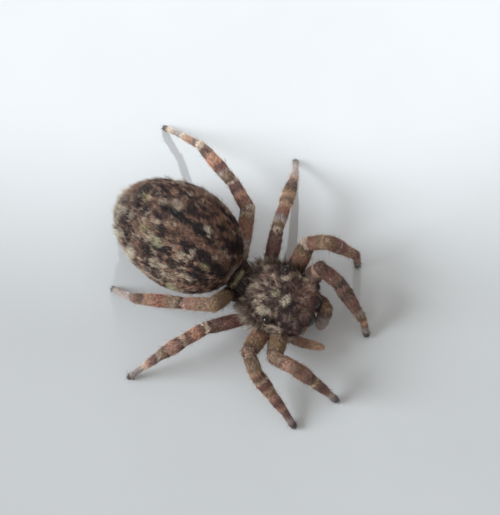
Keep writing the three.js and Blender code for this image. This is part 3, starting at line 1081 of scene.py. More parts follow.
@dataclass(frozen=True)
class Limb(Flesh):
    """A chain of barrels: a leg, a palp, or a short part such as the waist.

    Attributes:
        name: Its name.
        nodes: The solids that it stands for.
        barrels: Its segments, from the body out.
        first: The place of the first segment's start on the scale of bands.
        bands: Colours along it, where each segment is one long.
        fur: Its hair.
        strip: The first coordinate's range on the unwrap.
        tip_tuft: How much the last half segment's hair turns down to the ground.
        belly_tint: The colour of its underside.
        dust: The share of pale scales among its hair.
    """

    name: str
    nodes: tuple[str, ...]
    barrels: tuple[Barrel, ...]
    first: float
    bands: Bands
    fur: Fur
    strip: tuple[float, float] = (0.0, 1.0)
    tip_tuft: float = 0.0
    belly_tint: Tint = Tint.BLUSH
    dust: float = 0.15

    LOCK = (0.07, 0.07, 0.07)
    LIGHT = (1.42, 0.5)
    FLECK_COVER = 0.4
    DUST_LIGHT = 1.4
    BORDER_SHADE = 0.3
    BELLY_COVER = 0.4
    TIP_COVER = 0.75
    TURN = 36
    TIP_LIE = (0.0, 0.0, -1.0)
    CHART_AXIS = (0.13, 0.21, 1.0)

    def sculpt(self, clay: bmesh.types.BMesh) -> None:
        """Adds each barrel."""
        for barrel in self.barrels:
            added(clay, barrel.solid())

    def nearness(self, points: np.ndarray) -> np.ndarray:
        """How far places are outside the nearest barrel, in mm."""
        return np.min([barrel.nearness(points) for barrel in self.barrels], axis=0)

    def scale(self, points: np.ndarray) -> tuple[np.ndarray, np.ndarray]:
        """Places on the scale of bands.

        Args:
            points: Places on the limb.

        Returns:
            Where each is along the limb, and which barrel it is on.
        """
        owner = np.argmin([barrel.nearness(points) for barrel in self.barrels], axis=0)
        along = np.stack([barrel.along(points) for barrel in self.barrels])
        part = np.clip(along[owner, np.arange(len(points))], 0, 1)
        return self.first + owner + part, owner

    def ways(self) -> np.ndarray:
        """The way that each barrel points."""
        return np.array([(barrel.end - barrel.start).normalized() for barrel in self.barrels])

    def dressed(self, points: np.ndarray, normals: np.ndarray) -> Dressed:
        """Short hair that lies out along the limb, in its bands."""
        place, owner = self.scale(points)
        locks = Locks.of(points, self.LOCK)
        end = self.first + len(self.barrels)
        stray = 0.12 * (noise(points, 0.07, Salt.LIMB_STRAY) - 0.5)
        stray += 0.05 * (noise(points, 0.03, Salt.LIMB_FINE) - 0.5)
        colour = graded(place + stray, self.bands) * locks.about(Salt.LIMB_LIGHT, *self.LIGHT)[:, None]
        fleck = smooth_step(locks.share(Salt.LIMB_FLECK), 0.82, 0.95)
        colour = blended(colour, Tint.CREAM, fleck * self.FLECK_COVER)
        pale = self.DUST_LIGHT * np.array(Tint.ASH.value)
        colour = blended(colour, pale, np.full(len(points), self.dust))
        colour = colour * (1 - self.BORDER_SHADE * locks.border)[:, None]
        under = smooth_step(-normals[:, 2], 0.2, 0.9)
        colour = blended(colour, self.belly_tint, under * self.BELLY_COVER)
        tip = smooth_step(place, end - 0.24, end - 0.1) * self.tip_tuft
        colour = blended(colour, Tint.SLATE, tip * self.TIP_COVER)
        tuft = smooth_step(place, end - 0.5, end - 0.05) * self.tip_tuft
        lie = blended(self.ways()[owner], self.TIP_LIE, tuft * 0.7)
        lie = swung(lie, normals, (locks.share(Salt.LIMB_TURN) - 0.5) * self.TURN)
        slim = 1 - 0.3 * smooth_step(place, end - 2, end - 1)
        made = self.plain(points, colour, lie, locks.about(Salt.LIMB_LENGTH, 0.75, 0.5) * slim)
        return replace(made, lift=made.lift * (1 + 0.3 * tuft), width=made.width * (0.8 + 0.2 * slim))

    def chart(self, points: np.ndarray) -> np.ndarray:
        """Turns round the limb for one coordinate, and along it for the other."""
        place, owner = self.scale(points)
        starts = np.array([barrel.start for barrel in self.barrels])[owner]
        ways = self.ways()[owner]
        side = unit(np.cross(ways, self.CHART_AXIS))
        over = np.cross(side, ways)
        away = points - starts
        turn = np.arctan2((away * side).sum(axis=1), (away * over).sum(axis=1)) / math.tau + 0.5
        low, high = self.strip
        along = (place - self.first + 0.5) / (len(self.barrels) + 1)
        return np.stack([low + (high - low) * turn, along], axis=1)


@dataclass(frozen=True)
class Leg:
    """How one leg stands, and what it wears.

    Attributes:
        side: LEFT or RIGHT.
        pair: 1 to 4, from the front.
        heading: Degrees out from straight ahead, for each segment.
        rise: Degrees above level, for each but the last, which reaches down to the ground.
        bands: Colours along it: 0 at the hip, then 1 at the far end of each segment.
        hip: Where it leaves the coxa, where that isn't its pair's place.
    """

    side: int
    pair: int
    heading: tuple[float, ...]
    rise: tuple[float, ...]
    bands: Bands
    hip: tuple[float, float, float] | None = None

    SEGMENTS = ("femur", "patella", "tibia", "metatarsus", "tarsus")
    HIPS = {1: (0.55, 0.57, 0.54), 2: (0.17, 0.74, 0.54), 3: (-0.32, 0.74, 0.55), 4: (-0.98, 0.55, 0.57)}
    LENGTHS = {
        1: (1.18, 0.66, 0.72, 0.64, 0.47),
        2: (1.15, 0.62, 0.66, 0.64, 0.48),
        3: (1.22, 0.64, 0.72, 0.74, 0.5),
        4: (1.52, 0.78, 1.3, 1.08, 0.56),
    }
    # Each segment's radius at its near end, belly and far end, from the femur out.
    STOUT = (
        (0.155, 0.235, 0.175), (0.165, 0.18, 0.17), (0.165, 0.185, 0.15), (0.13, 0.135, 0.11),
        (0.095, 0.095, 0.09),
    )
    SLIM = (
        (0.14, 0.175, 0.15), (0.15, 0.16, 0.15), (0.15, 0.175, 0.13), (0.105, 0.11, 0.085),
        (0.075, 0.072, 0.078),
    )
    HIND = (
        (0.14, 0.19, 0.18), (0.185, 0.17, 0.15), (0.145, 0.165, 0.12), (0.09, 0.092, 0.078),
        (0.07, 0.07, 0.076),
    )
    RADII = {1: STOUT, 2: STOUT, 3: SLIM, 4: HIND}
    FUR = Fur(length=0.1, width=0.013, lift=0.45, spread=15)
    CLAW = 0.1
    COXA_ROOT = (0.72, 0.45, 0.5)
    COXA_RADIUS = {1: 0.17, 2: 0.17, 3: 0.17, 4: 0.23}
    COXA_TAPER = 0.85

    def root(self) -> tuple[float, float, float]:
        """Where the leg leaves its coxa: forward, out and up."""
        return self.hip or self.HIPS[self.pair]

    def joints(self, body: BodyFrame) -> list[Vector]:
        """The joints from the hip to the claws."""
        forward, out, up = self.root()
        joints = [body.at(forward, self.side * out, up)]
        for i, length in enumerate(self.LENGTHS[self.pair]):
            if i < len(self.rise):
                slope = self.rise[i]
            else:
                slope = math.degrees(math.asin((self.CLAW - joints[-1].z) / length))
            joints.append(joints[-1] + heading_vector(self.side, self.heading[i], slope) * length)
        return joints

    def limb(self, name: str, body: BodyFrame) -> Limb:
        """The leg as a limb with its hair."""
        joints = self.joints(body)
        pairs = zip(joints, joints[1:], self.RADII[self.pair])
        nodes = tuple(f"leg_{name}_{segment}" for segment in self.SEGMENTS)
        barrels = tuple(Barrel(start, end, radii) for start, end, radii in pairs)
        return Limb(f"leg_{name}", nodes, barrels, 0.0, self.bands, self.FUR, tip_tuft=1.0)

    def coxa(self, body: BodyFrame) -> Barrel:
        """The coxa, from the edge of the sternum to the hip."""
        forward, out, _ = self.root()
        ahead, aside, height = self.COXA_ROOT
        root = body.at(forward * ahead, self.side * out * aside, height)
        radius = self.COXA_RADIUS[self.pair]
        return Barrel(root, self.joints(body)[0], (radius, radius, radius * self.COXA_TAPER))


T = Tint  # Short, for the many bands.


LEGS = {
    "left_1": Leg(LEFT, 1, (55, -12, -32, -28, -50), (58, -30, -24, -49),
        ((0.0, T.BROWN), (0.45, T.UMBER), (0.86, T.BROWN), (0.89, T.FAWN), (0.93, T.FAWN), (0.97, T.BROWN),
         (1.12, T.BROWN), (1.3, T.MAROON), (1.5, T.MAROON), (1.6, T.MOCHA), (1.85, T.MOCHA),
         (1.95, T.UMBER), (2.15, T.UMBER), (2.25, T.MOCHA), (2.38, T.BROWN), (2.7, T.BROWN), (2.8, T.MOCHA),
         (2.95, T.MAROON), (3.3, T.MAROON), (3.45, T.ASH), (3.6, T.OLIVE), (3.9, T.BROWN), (4.0, T.FAWN),
         (4.15, T.FAWN), (4.3, T.MOCHA), (4.6, T.SMOKE), (4.85, T.SMOKE), (5.0, T.BROWN)),
         (0.64, 0.53, 0.54)),
    "left_2": Leg(LEFT, 2, (81, 19, 11, 12, -51), (41, 30, -52, -56),
        ((0.0, T.MAROON), (0.3, T.RUST), (0.6, T.RUST), (0.8, T.OLIVE), (0.93, T.BROWN), (0.97, T.CREAM),
         (1.02, T.CREAM), (1.07, T.MAROON), (1.25, T.MOCHA), (1.4, T.RUST), (1.6, T.OLIVE), (1.85, T.TAN),
         (1.95, T.OLIVE), (2.1, T.RUST), (2.3, T.MAROON), (2.48, T.MAROON), (2.54, T.CREAM),
         (2.6, T.MAROON), (2.8, T.MAROON), (2.95, T.RUST), (3.15, T.FAWN), (3.35, T.OLIVE), (3.5, T.BLUSH),
         (3.65, T.MAROON), (3.95, T.BROWN), (4.1, T.BLUSH), (4.4, T.MOCHA), (5.0, T.SMOKE)),
         (0.3, 0.73, 0.54)),
    "left_3": Leg(LEFT, 3, (99, 94, 95, 100, 110), (40, -11, -17, -47),
        ((0.0, T.PLUM), (0.25, T.MAROON), (0.75, T.PLUM), (0.9, T.BROWN), (0.95, T.BROWN), (0.97, T.CREAM),
         (0.985, T.CREAM), (1.0, T.BROWN), (1.17, T.OLIVE), (1.27, T.ASH), (1.52, T.SMOKE), (1.62, T.RUST),
         (1.9, T.RUST), (2.0, T.FAWN), (2.12, T.FAWN), (2.2, T.BROWN), (2.3, T.OLIVE), (2.4, T.FAWN),
         (2.55, T.TAN), (2.65, T.OLIVE), (2.8, T.BROWN), (2.97, T.BROWN), (3.1, T.MOCHA), (3.3, T.FAWN),
         (3.5, T.ASH), (4.2, T.ASH), (5.0, T.SMOKE))),
    "left_4": Leg(LEFT, 4, (104, 142, 152, 161, 170), (17, 7, 1, -45),
        ((0.0, T.UMBER), (0.1, T.OLIVE), (0.2, T.GREY), (0.4, T.ASH), (0.48, T.MOCHA), (0.58, T.COPPER),
         (0.78, T.COPPER), (0.84, T.OLIVE), (0.87, T.OLIVE), (0.91, T.CREAM), (0.96, T.BROWN),
         (1.03, T.CREAM), (1.1, T.BROWN), (1.2, T.RUST), (1.35, T.MAROON), (1.5, T.ORANGE), (1.6, T.BLUSH),
         (1.7, T.PLUM), (1.98, T.PLUM), (2.03, T.CREAM), (2.1, T.BROWN), (2.2, T.OLIVE), (2.27, T.ASH),
         (2.35, T.MAROON), (2.45, T.PLUM), (2.52, T.ORANGE), (2.66, T.ORANGE), (2.75, T.BLUSH),
         (2.84, T.BROWN), (2.95, T.BROWN), (3.0, T.CREAM), (3.12, T.ASH), (3.22, T.BROWN), (3.35, T.MOCHA),
         (3.7, T.FAWN), (3.85, T.CREAM), (4.0, T.SMOKE), (4.35, T.ASH), (4.55, T.CREAM), (4.8, T.CREAM),
         (4.92, T.SMOKE), (5.0, T.SMOKE)), (-1.06, 0.53, 0.57)),
    "right_1": Leg(RIGHT, 1, (80, 9, 4, 9, 11), (32, 22, -48, -43),
        ((0.0, T.MAROON), (0.35, T.COPPER), (0.65, T.OLIVE), (0.85, T.OLIVE), (0.94, T.BROWN),
         (0.97, T.FAWN), (1.0, T.BROWN), (1.04, T.CREAM), (1.1, T.OLIVE), (1.3, T.MOCHA), (1.42, T.GREY),
         (1.5, T.MAROON), (1.6, T.BLUSH), (1.9, T.BLUSH), (2.05, T.MOCHA), (2.4, T.COPPER), (2.6, T.MOCHA),
         (2.8, T.MAROON), (2.98, T.BROWN), (3.06, T.OLIVE), (3.14, T.STRAW), (3.24, T.FAWN),
         (3.34, T.MAROON), (3.55, T.BROWN), (3.7, T.BROWN), (3.8, T.MAROON), (4.1, T.MOCHA), (4.3, T.ASH),
         (4.7, T.SMOKE), (5.0, T.SMOKE))),
    "right_2": Leg(RIGHT, 2, (97, 47, 29, 29, 32), (34, -31, -27, -23),
        ((0.0, T.PLUM), (0.25, T.OLIVE), (0.5, T.COPPER), (0.8, T.OLIVE), (0.92, T.BROWN), (0.98, T.BROWN),
         (1.02, T.FAWN), (1.04, T.BROWN), (1.08, T.CREAM), (1.12, T.BROWN), (1.3, T.OLIVE), (1.5, T.GREY),
         (1.75, T.OLIVE), (1.95, T.FAWN), (2.05, T.RUST), (2.25, T.BROWN), (2.33, T.FAWN), (2.4, T.CREAM),
         (2.46, T.MAROON), (2.75, T.MAROON), (2.85, T.FAWN), (3.02, T.OLIVE), (3.12, T.FAWN),
         (3.2, T.BLUSH), (3.5, T.MAROON), (3.6, T.BROWN), (3.7, T.RUST), (3.9, T.BLUSH), (4.05, T.PLUM),
         (4.4, T.PLUM), (4.6, T.SMOKE), (5.0, T.PLUM))),
    "right_3": Leg(RIGHT, 3, (141, 128, 126, 130, 130), (16, 1, -2, -38),
        ((0.0, T.MAROON), (0.5, T.MAROON), (0.95, T.BROWN), (1.02, T.CREAM), (1.09, T.CREAM),
         (1.15, T.BROWN), (1.33, T.RUST), (1.42, T.ORANGE), (1.6, T.ORANGE), (1.68, T.RUST), (1.9, T.BROWN),
         (2.0, T.FAWN), (2.1, T.CREAM), (2.17, T.BROWN), (2.35, T.MOCHA), (2.45, T.BLUSH), (2.75, T.BLUSH),
         (2.86, T.BROWN), (3.0, T.OLIVE), (3.06, T.ASH), (3.16, T.BROWN), (3.4, T.PLUM), (3.5, T.RUST),
         (3.65, T.BLUSH), (3.75, T.CREAM), (3.88, T.CREAM), (4.0, T.SMOKE), (4.6, T.SMOKE), (4.8, T.ASH),
         (5.0, T.BROWN)), (-0.34, 0.7, 0.55)),
    "right_4": Leg(RIGHT, 4, (106, 166, 165, -164, -160), (61, -20, -6, -61),
        ((0.0, T.UMBER), (0.12, T.UMBER), (0.28, T.OLIVE), (0.5, T.OLIVE), (0.75, T.OLIVE), (0.9, T.MOCHA),
         (1.0, T.OLIVE), (1.1, T.MOCHA), (1.25, T.OLIVE), (1.4, T.MOCHA), (1.52, T.OLIVE), (1.6, T.MOCHA),
         (1.75, T.COPPER), (1.84, T.MOCHA), (1.9, T.MOCHA), (1.96, T.BLUSH), (2.03, T.BLUSH),
         (2.07, T.UMBER), (2.11, T.UMBER), (2.16, T.OLIVE), (2.26, T.GREY), (2.38, T.OLIVE), (2.43, T.RUST),
         (2.55, T.RUST), (2.62, T.COPPER), (2.83, T.TAN), (2.89, T.BROWN), (3.0, T.MOCHA), (3.1, T.BROWN),
         (3.2, T.BROWN), (3.3, T.ASH), (5.0, T.ASH)), (-1.02, 0.27, 0.57)),
}


@dataclass(frozen=True)
class Palp:
    """How one palp is held, and its colours.

    Attributes:
        side: LEFT or RIGHT.
        heading: Degrees out from straight ahead, for each segment.
        rise: Degrees above level, for each segment.
        bands: Colours along it: 0 at the head, then 1 at the far end of each segment.
        strip: The first coordinate's range on the unwrap.
        radii: Each segment's radius at its near end, belly and far end.
    """

    side: int
    heading: tuple[float, ...]
    rise: tuple[float, ...]
    bands: Bands
    strip: tuple[float, float]
    radii: tuple[tuple[float, float, float], ...]

    BASE = (0.97, 0.43, 0.58)
    LENGTHS = (0.46, 0.24, 0.25, 0.42)
    FUR = Fur(length=0.12, width=0.013, lift=0.6, spread=22)
    PLUMP = ((0.11, 0.13, 0.13), (0.14, 0.15, 0.15), (0.15, 0.165, 0.155), (0.155, 0.165, 0.1))
    LEAN = ((0.1, 0.11, 0.1), (0.095, 0.105, 0.095), (0.095, 0.105, 0.1), (0.1, 0.105, 0.075))

    def limb(self, name: str, body: BodyFrame) -> Limb:
        """The palp as a limb with its hair."""
        forward, out, up = self.BASE
        start = body.at(forward, self.side * out, up)
        barrels = []
        for length, heading, rise, radii in zip(self.LENGTHS, self.heading, self.rise, self.radii):
            end = start + heading_vector(self.side, heading, rise) * length
            barrels.append(Barrel(start, end, radii))
            start = end
        node = f"palp_{name}"
        return Limb(node, (node,), tuple(barrels), 0.0, self.bands, self.FUR, self.strip)


PALPS = {
    "left": Palp(LEFT, (-14, -40, -80, -96), (42, 8, -35, -68),
        ((0.0, T.BROWN), (1.2, T.BROWN), (1.8, T.OLIVE), (2.2, T.BROWN), (2.6, T.BROWN), (2.9, T.SMOKE),
         (3.4, T.ASH), (4.0, T.GREY)), (0.82, 0.9), Palp.PLUMP),
    "right": Palp(RIGHT, (98, 2, -10, -16), (26, -5, -20, -30),
        ((0.0, T.ASH), (1.0, T.ASH), (1.6, T.MOCHA), (2.2, T.MOCHA), (2.9, T.MOCHA), (3.4, T.FAWN),
         (4.0, T.FAWN)), (0.91, 0.99), Palp.LEAN),
}


@dataclass(frozen=True)
class Underside(Flesh):
    """The sternum with the eight coxae round it, and the mouth's plates ahead of it."""

    body: BodyFrame
    coxae: tuple[Barrel, ...]
    middle: float = 0.04
    half_length: float = 0.84
    half_width: float = 0.52
    drop: float = 0.42
    rim_height: float = 0.76
    coat_depth: float = 0.04
    name: str = "underside"
    nodes: tuple[str, ...] = ("sternum_and_coxae",)
    fur: Fur = Fur(length=0.11, width=0.014, lift=0.4, spread=20, density=0.7)

    # Each plate's near end and far end as (forward, to the side, up), and its radii.
    ENDITE = ((0.58, 0.16, 0.56), (0.68, 0.12, 0.55), (0.11, 0.12, 0.1))
    LABIUM = ((0.54, 0.0, 0.5), (0.64, 0.0, 0.5), (0.09, 0.1, 0.07))
    TONES = ((0.2, Tint.COCOA), (0.5, Tint.ROSE), (0.8, Tint.TAN))
    REAR_SHADE_COVER = 0.75
    LIE_FROM = (0.1, 0.0, 0.6)
    LIE_BACK = 0.3
    TURN = 30
    SPHERE_STEPS = (40, 24)
    PLATE_EDGE = 0.93
    PLATE_SCALE = 0.5
    CHART_MIDDLE = 0.5
    CHART_REACH = 0.49
    CHART_WIDEST = 0.75

    def barrels(self) -> list[Barrel]:
        """The coxae, the two endites and the labium between them."""
        plates = [(self.ENDITE, hand) for hand in HANDS.values()] + [(self.LABIUM, LEFT)]
        made = list(self.coxae)
        for (near, far, radii), hand in plates:
            ends = [self.body.at(forward, hand * out, up) for forward, out, up in (near, far)]
            made.append(Barrel(*ends, radii))
        return made

    def bend(self, sphere: Vector) -> Vector:
        """Where a point of a unit sphere lies on the sternum's skin."""
        inset = self.coat_depth
        along, across, down = self.half_length - inset, self.half_width - inset, self.drop - inset
        place = self.body.at(self.middle, 0, self.rim_height)
        return place + Vector((sphere.x * across, sphere.y * along, sphere.z * down))

    def sculpt(self, clay: bmesh.types.BMesh) -> None:
        """Adds the sternum, the coxae and the mouth's plates."""
        added(clay, bent_sphere(self.SPHERE_STEPS, self.bend))
        for barrel in self.barrels():
            added(clay, barrel.solid())

    def nearness(self, points: np.ndarray) -> np.ndarray:
        """How far places are outside the underside, in mm."""
        half = [self.half_length, self.half_width, self.drop]
        own = (self.body.own(points) - [self.middle, 0, self.rim_height]) / half
        plate = (lengths(own) - self.PLATE_EDGE) * self.PLATE_SCALE
        return np.min([plate, *(barrel.nearness(points) for barrel in self.barrels())], axis=0)

    def dressed(self, points: np.ndarray, normals: np.ndarray) -> Dressed:
        """Thin brown hair that lies outward, with painted shade at the rear, by the waist."""
        own = self.body.own(points)
        tone = 0.5 * noise(own, 0.1, Salt.UNDER_TONE) + 0.5 * noise(own, 0.04, Salt.UNDER_FINE)
        # The near-black at the rear, over the hind coxae, is painted shade in the gap by the waist.
        behind = smooth_step(-own[:, 0], 0.55, 0.8)
        colour = blended(graded(tone, self.TONES), Tint.INK, behind * self.REAR_SHADE_COVER)
        lie = unit(points - np.array(self.body.at(*self.LIE_FROM)))
        lie[:, 1] += self.LIE_BACK
        lie = swung(lie, normals, self.TURN * (noise(own, 0.1, Salt.UNDER_TURN) - 0.5))
        return self.plain(points, colour, lie, 0.8 + 0.4 * noise(own, 0.05, Salt.UNDER_LENGTH))

    def chart(self, points: np.ndarray) -> np.ndarray:
        """Spreads the underside flat from its lowest place."""
        away = self.body.own(points) - [self.middle, 0, self.rim_height + 0.1]
        flat = np.clip(spread_flat(away, -1, self.CHART_WIDEST), -1, 1)
        return self.CHART_MIDDLE + self.CHART_REACH * flat


def waist(body: BodyFrame) -> Limb:
    """The narrow stalk between the carapace and the abdomen: near-black painted shade, with a pale ring of
    its own colour.
    """
    stalk = Barrel(body.at(-0.7, 0.0, 0.92), body.at(-1.3, 0.16, 1.1), (0.22, 0.22, 0.25))
    # The near-black bands, underside and dense dark hair are painted shade filling the gap between carapace
    # and abdomen; the sage ring is the hair's own colour.
    bands = ((0.0, T.INK), (0.4, T.INK), (0.48, T.SAGE), (0.52, T.SAGE), (0.6, T.INK), (1.0, T.INK))
    fur = Fur(length=0.2, width=0.016, lift=0.9, spread=40, density=3.0)
    return Limb("waist", ("pedicel",), (stalk,), 0.0, bands, fur, belly_tint=T.INK, dust=0.0)


# Each spinneret as (how far out, height, how far it reaches back, radius) in the abdomen's axes.
SPINNERETS = ((0.1, -0.5, 0.3, 0.075), (0.05, -0.6, 0.2, 0.05), (0.12, -0.66, 0.32, 0.075))
SPINNERET_ROOT = 1.42
SPINNERET_END = 1.5
SPINNERET_BANDS = ((0.0, T.COCOA), (0.7, T.ROSE), (1.0, T.TAN))


def spinnerets(abdomen: Abdomen) -> list[Limb]:
    """Three pairs of spinnerets at the rear tip of the abdomen."""
    move = abdomen.to_row()
    fur = Fur(length=0.09, width=0.01, lift=0.4, spread=15)
    made: list[Limb] = []
    for hand, (out, height, length, radius) in itertools.product(HANDS.values(), SPINNERETS):
        start = move @ Vector((hand * out, SPINNERET_ROOT, height))
        end = move @ Vector((hand * out * 1.2, SPINNERET_END + length, height - 0.04))
        barrel = Barrel(start, end, (radius, radius, radius * 0.7))
        nodes = ("spinnerets",) if not made else ()
        made.append(Limb("spinneret", nodes, (barrel,), 0.0, SPINNERET_BANDS, fur))
    return made


# ------------------------------------------------------------------ finishes


class Nodes:
    """Shorthand for building one material or group."""

    def __init__(self, tree: bpy.types.NodeTree) -> None:
        """Starts on an empty tree."""
        self.tree = tree
        tree.nodes.clear()

    def add(self, kind: str, **settings: object) -> bpy.types.Node:
        """Adds a node, sets its properties by name, and its sockets by name or number.

        Args:
            kind: The node's type.
            **settings: Its properties; "values" maps input sockets to what they hold.

        Returns:
            The node.
        """
        values = settings.pop("values", {})
        node = self.tree.nodes.new(kind)
        for name, value in settings.items():
            setattr(node, name, value)
        for socket, value in values.items():
            node.inputs[socket].default_value = value
        return node

    def join(self, source: bpy.types.NodeSocket, target: bpy.types.NodeSocket) -> None:
        """Links an output to an input."""
        self.tree.links.new(source, target)


def grain_group() -> bpy.types.NodeTree:
    """Fine uneven grain, as on hide and hair: a factor round a half, and a height for bump."""
    group = bpy.data.node_groups.new("fine_grain", "ShaderNodeTree")
    for name, way in (("Size", "INPUT"), ("Factor", "OUTPUT"), ("Height", "OUTPUT")):
        group.interface.new_socket(name, in_out=way, socket_type="NodeSocketFloat")
    nodes = Nodes(group)
    enter = nodes.add("NodeGroupInput")
    leave = nodes.add("NodeGroupOutput")
    place = nodes.add("ShaderNodeTexCoord")
    lumps = nodes.add("ShaderNodeTexNoise", values={"Detail": 4.0, "Roughness": 0.65})
    pores = nodes.add("ShaderNodeTexVoronoi", feature="SMOOTH_F1", values={"Smoothness": 0.6})
    mix = nodes.add("ShaderNodeMath", operation="ADD", use_clamp=True)
    half = nodes.add("ShaderNodeMath", operation="MULTIPLY", values={1: 0.5})
    for texture in (lumps, pores):
        nodes.join(place.outputs["Object"], texture.inputs["Vector"])
        nodes.join(enter.outputs["Size"], texture.inputs["Scale"])
    nodes.join(pores.outputs["Distance"], half.inputs[0])
    nodes.join(lumps.outputs["Fac"], mix.inputs[0])
    nodes.join(half.outputs[0], mix.inputs[1])
    nodes.join(lumps.outputs["Fac"], leave.inputs["Factor"])
    nodes.join(mix.outputs[0], leave.inputs["Height"])
    return group


@dataclass(frozen=True)
class Finish:
    """A surface whose colour is an attribute of the mesh or a plain one, broken up by grain.

    Attributes:
        name: The material's name.
        roughness: Of the surface, before the grain.
        specular: How strongly it mirrors.
        grain_size: Grains to the metre.
        contrast: How far the grain darkens and lightens the colour.
        bump: Height of the grain, in metres.
        colour: The plain colour, where the mesh carries none.
        attribute: The mesh's colour attribute.
        root_shade: Share of the colour left at a hair's root.
        coat: Strength of a clear layer.
        sheen: Strength of a soft edge glow.
    """

    name: str
    roughness: float
    specular: float
    grain_size: float
    contrast: float
    bump: float
    colour: tuple[float, float, float] = (0.1, 0.1, 0.1)
    attribute: str = ""
    root_shade: float = 1.0
    coat: float = 0.0
    sheen: float = 0.0

    COAT_ROUGHNESS = 0.04
    SHEEN_ROUGHNESS = 0.5
    ROUGHNESS_SPREAD = 0.08
    LEAST_ROUGHNESS = 0.02
    GRAIN_RANGE = (0.3, 0.7)
    SHADED_REACH = 0.6

    def material(self, grain: bpy.types.NodeTree) -> bpy.types.Material:
        """Builds the material."""
        made = bpy.data.materials.new(self.name)
        made.use_nodes = True
        nodes = Nodes(made.node_tree)
        out = nodes.add("ShaderNodeOutputMaterial")
        surface = nodes.add(
            "ShaderNodeBsdfPrincipled",
            values={
                "Specular IOR Level": self.specular,
                "Coat Weight": self.coat,
                "Coat Roughness": self.COAT_ROUGHNESS,
                "Sheen Weight": self.sheen,
                "Sheen Roughness": self.SHEEN_ROUGHNESS,
            },
        )
        nodes.join(surface.outputs[0], out.inputs["Surface"])
        texture = nodes.add("ShaderNodeGroup", node_tree=grain, values={"Size": self.grain_size})
        nodes.join(self.coloured(nodes, texture), surface.inputs["Base Color"])
        rough = nodes.add(
            "ShaderNodeMapRange",
            values={
                "To Min": max(self.roughness - self.ROUGHNESS_SPREAD, self.LEAST_ROUGHNESS),
                "To Max": min(self.roughness + self.ROUGHNESS_SPREAD, 1.0),
            },
        )
        nodes.join(texture.outputs["Factor"], rough.inputs["Value"])
        nodes.join(rough.outputs[0], surface.inputs["Roughness"])
        if self.bump:
            bump = nodes.add("ShaderNodeBump", values={"Strength": 1.0, "Distance": self.bump})
            nodes.join(texture.outputs["Height"], bump.inputs["Height"])
            nodes.join(bump.outputs[0], surface.inputs["Normal"])
        return made

    def coloured(self, nodes: Nodes, texture: bpy.types.Node) -> bpy.types.NodeSocket:
        """Adds the nodes of the colour.

        Args:
            nodes: The material's nodes.
            texture: The grain.

        Returns:
            The output that holds the colour.
        """
        low, high = self.GRAIN_RANGE
        shade = nodes.add(
            "ShaderNodeMapRange",
            values={
                "From Min": low,
                "From Max": high,
                "To Min": 1 - self.contrast,
                "To Max": 1 + self.contrast,
            },
        )
        nodes.join(texture.outputs["Factor"], shade.inputs["Value"])
        strength = shade.outputs[0]
        if self.root_shade < 1:
            reach = nodes.add("ShaderNodeAttribute", attribute_name="reach")
            grade = nodes.add(
                "ShaderNodeMapRange",
                values={"From Max": self.SHADED_REACH, "To Min": self.root_shade, "To Max": 1.0},
            )
            both = nodes.add("ShaderNodeMath", operation="MULTIPLY")
            nodes.join(reach.outputs["Fac"], grade.inputs["Value"])
            nodes.join(grade.outputs[0], both.inputs[0])
            nodes.join(strength, both.inputs[1])
            strength = both.outputs[0]
        scale = nodes.add("ShaderNodeVectorMath", operation="SCALE")
        if self.attribute:
            tint = nodes.add("ShaderNodeAttribute", attribute_name=self.attribute)
            nodes.join(tint.outputs["Color"], scale.inputs[0])
        else:
            scale.inputs[0].default_value = self.colour
        nodes.join(strength, scale.inputs["Scale"])
        return scale.outputs[0]


HIDE = Finish("hide", 0.62, 0.3, 25000, 0.35, 1.2e-5, attribute="marking")
HAIR = Finish("hair", 0.62, 0.35, 18000, 0.12, 0.0, attribute="tint", root_shade=0.6, sheen=0.1)
LENS = Finish("eye_lens", 0.12, 0.4, 4000, 0.25, 0.0, colour=linear(20, 13, 12), coat=0.45)
JAW = Finish("jaw_cuticle", 0.3, 0.5, 30000, 0.3, 3e-6, colour=linear(92, 48, 34), coat=0.5)
CLAW = Finish("claw_cuticle", 0.35, 0.5, 30000, 0.2, 0.0, colour=linear(40, 28, 26), coat=0.2)
GROUND = Finish("pale_ground", 0.5, 0.3, 150, 0.02, 0.0, colour=linear(224, 226, 229))


# ------------------------------------------------------------------ skin


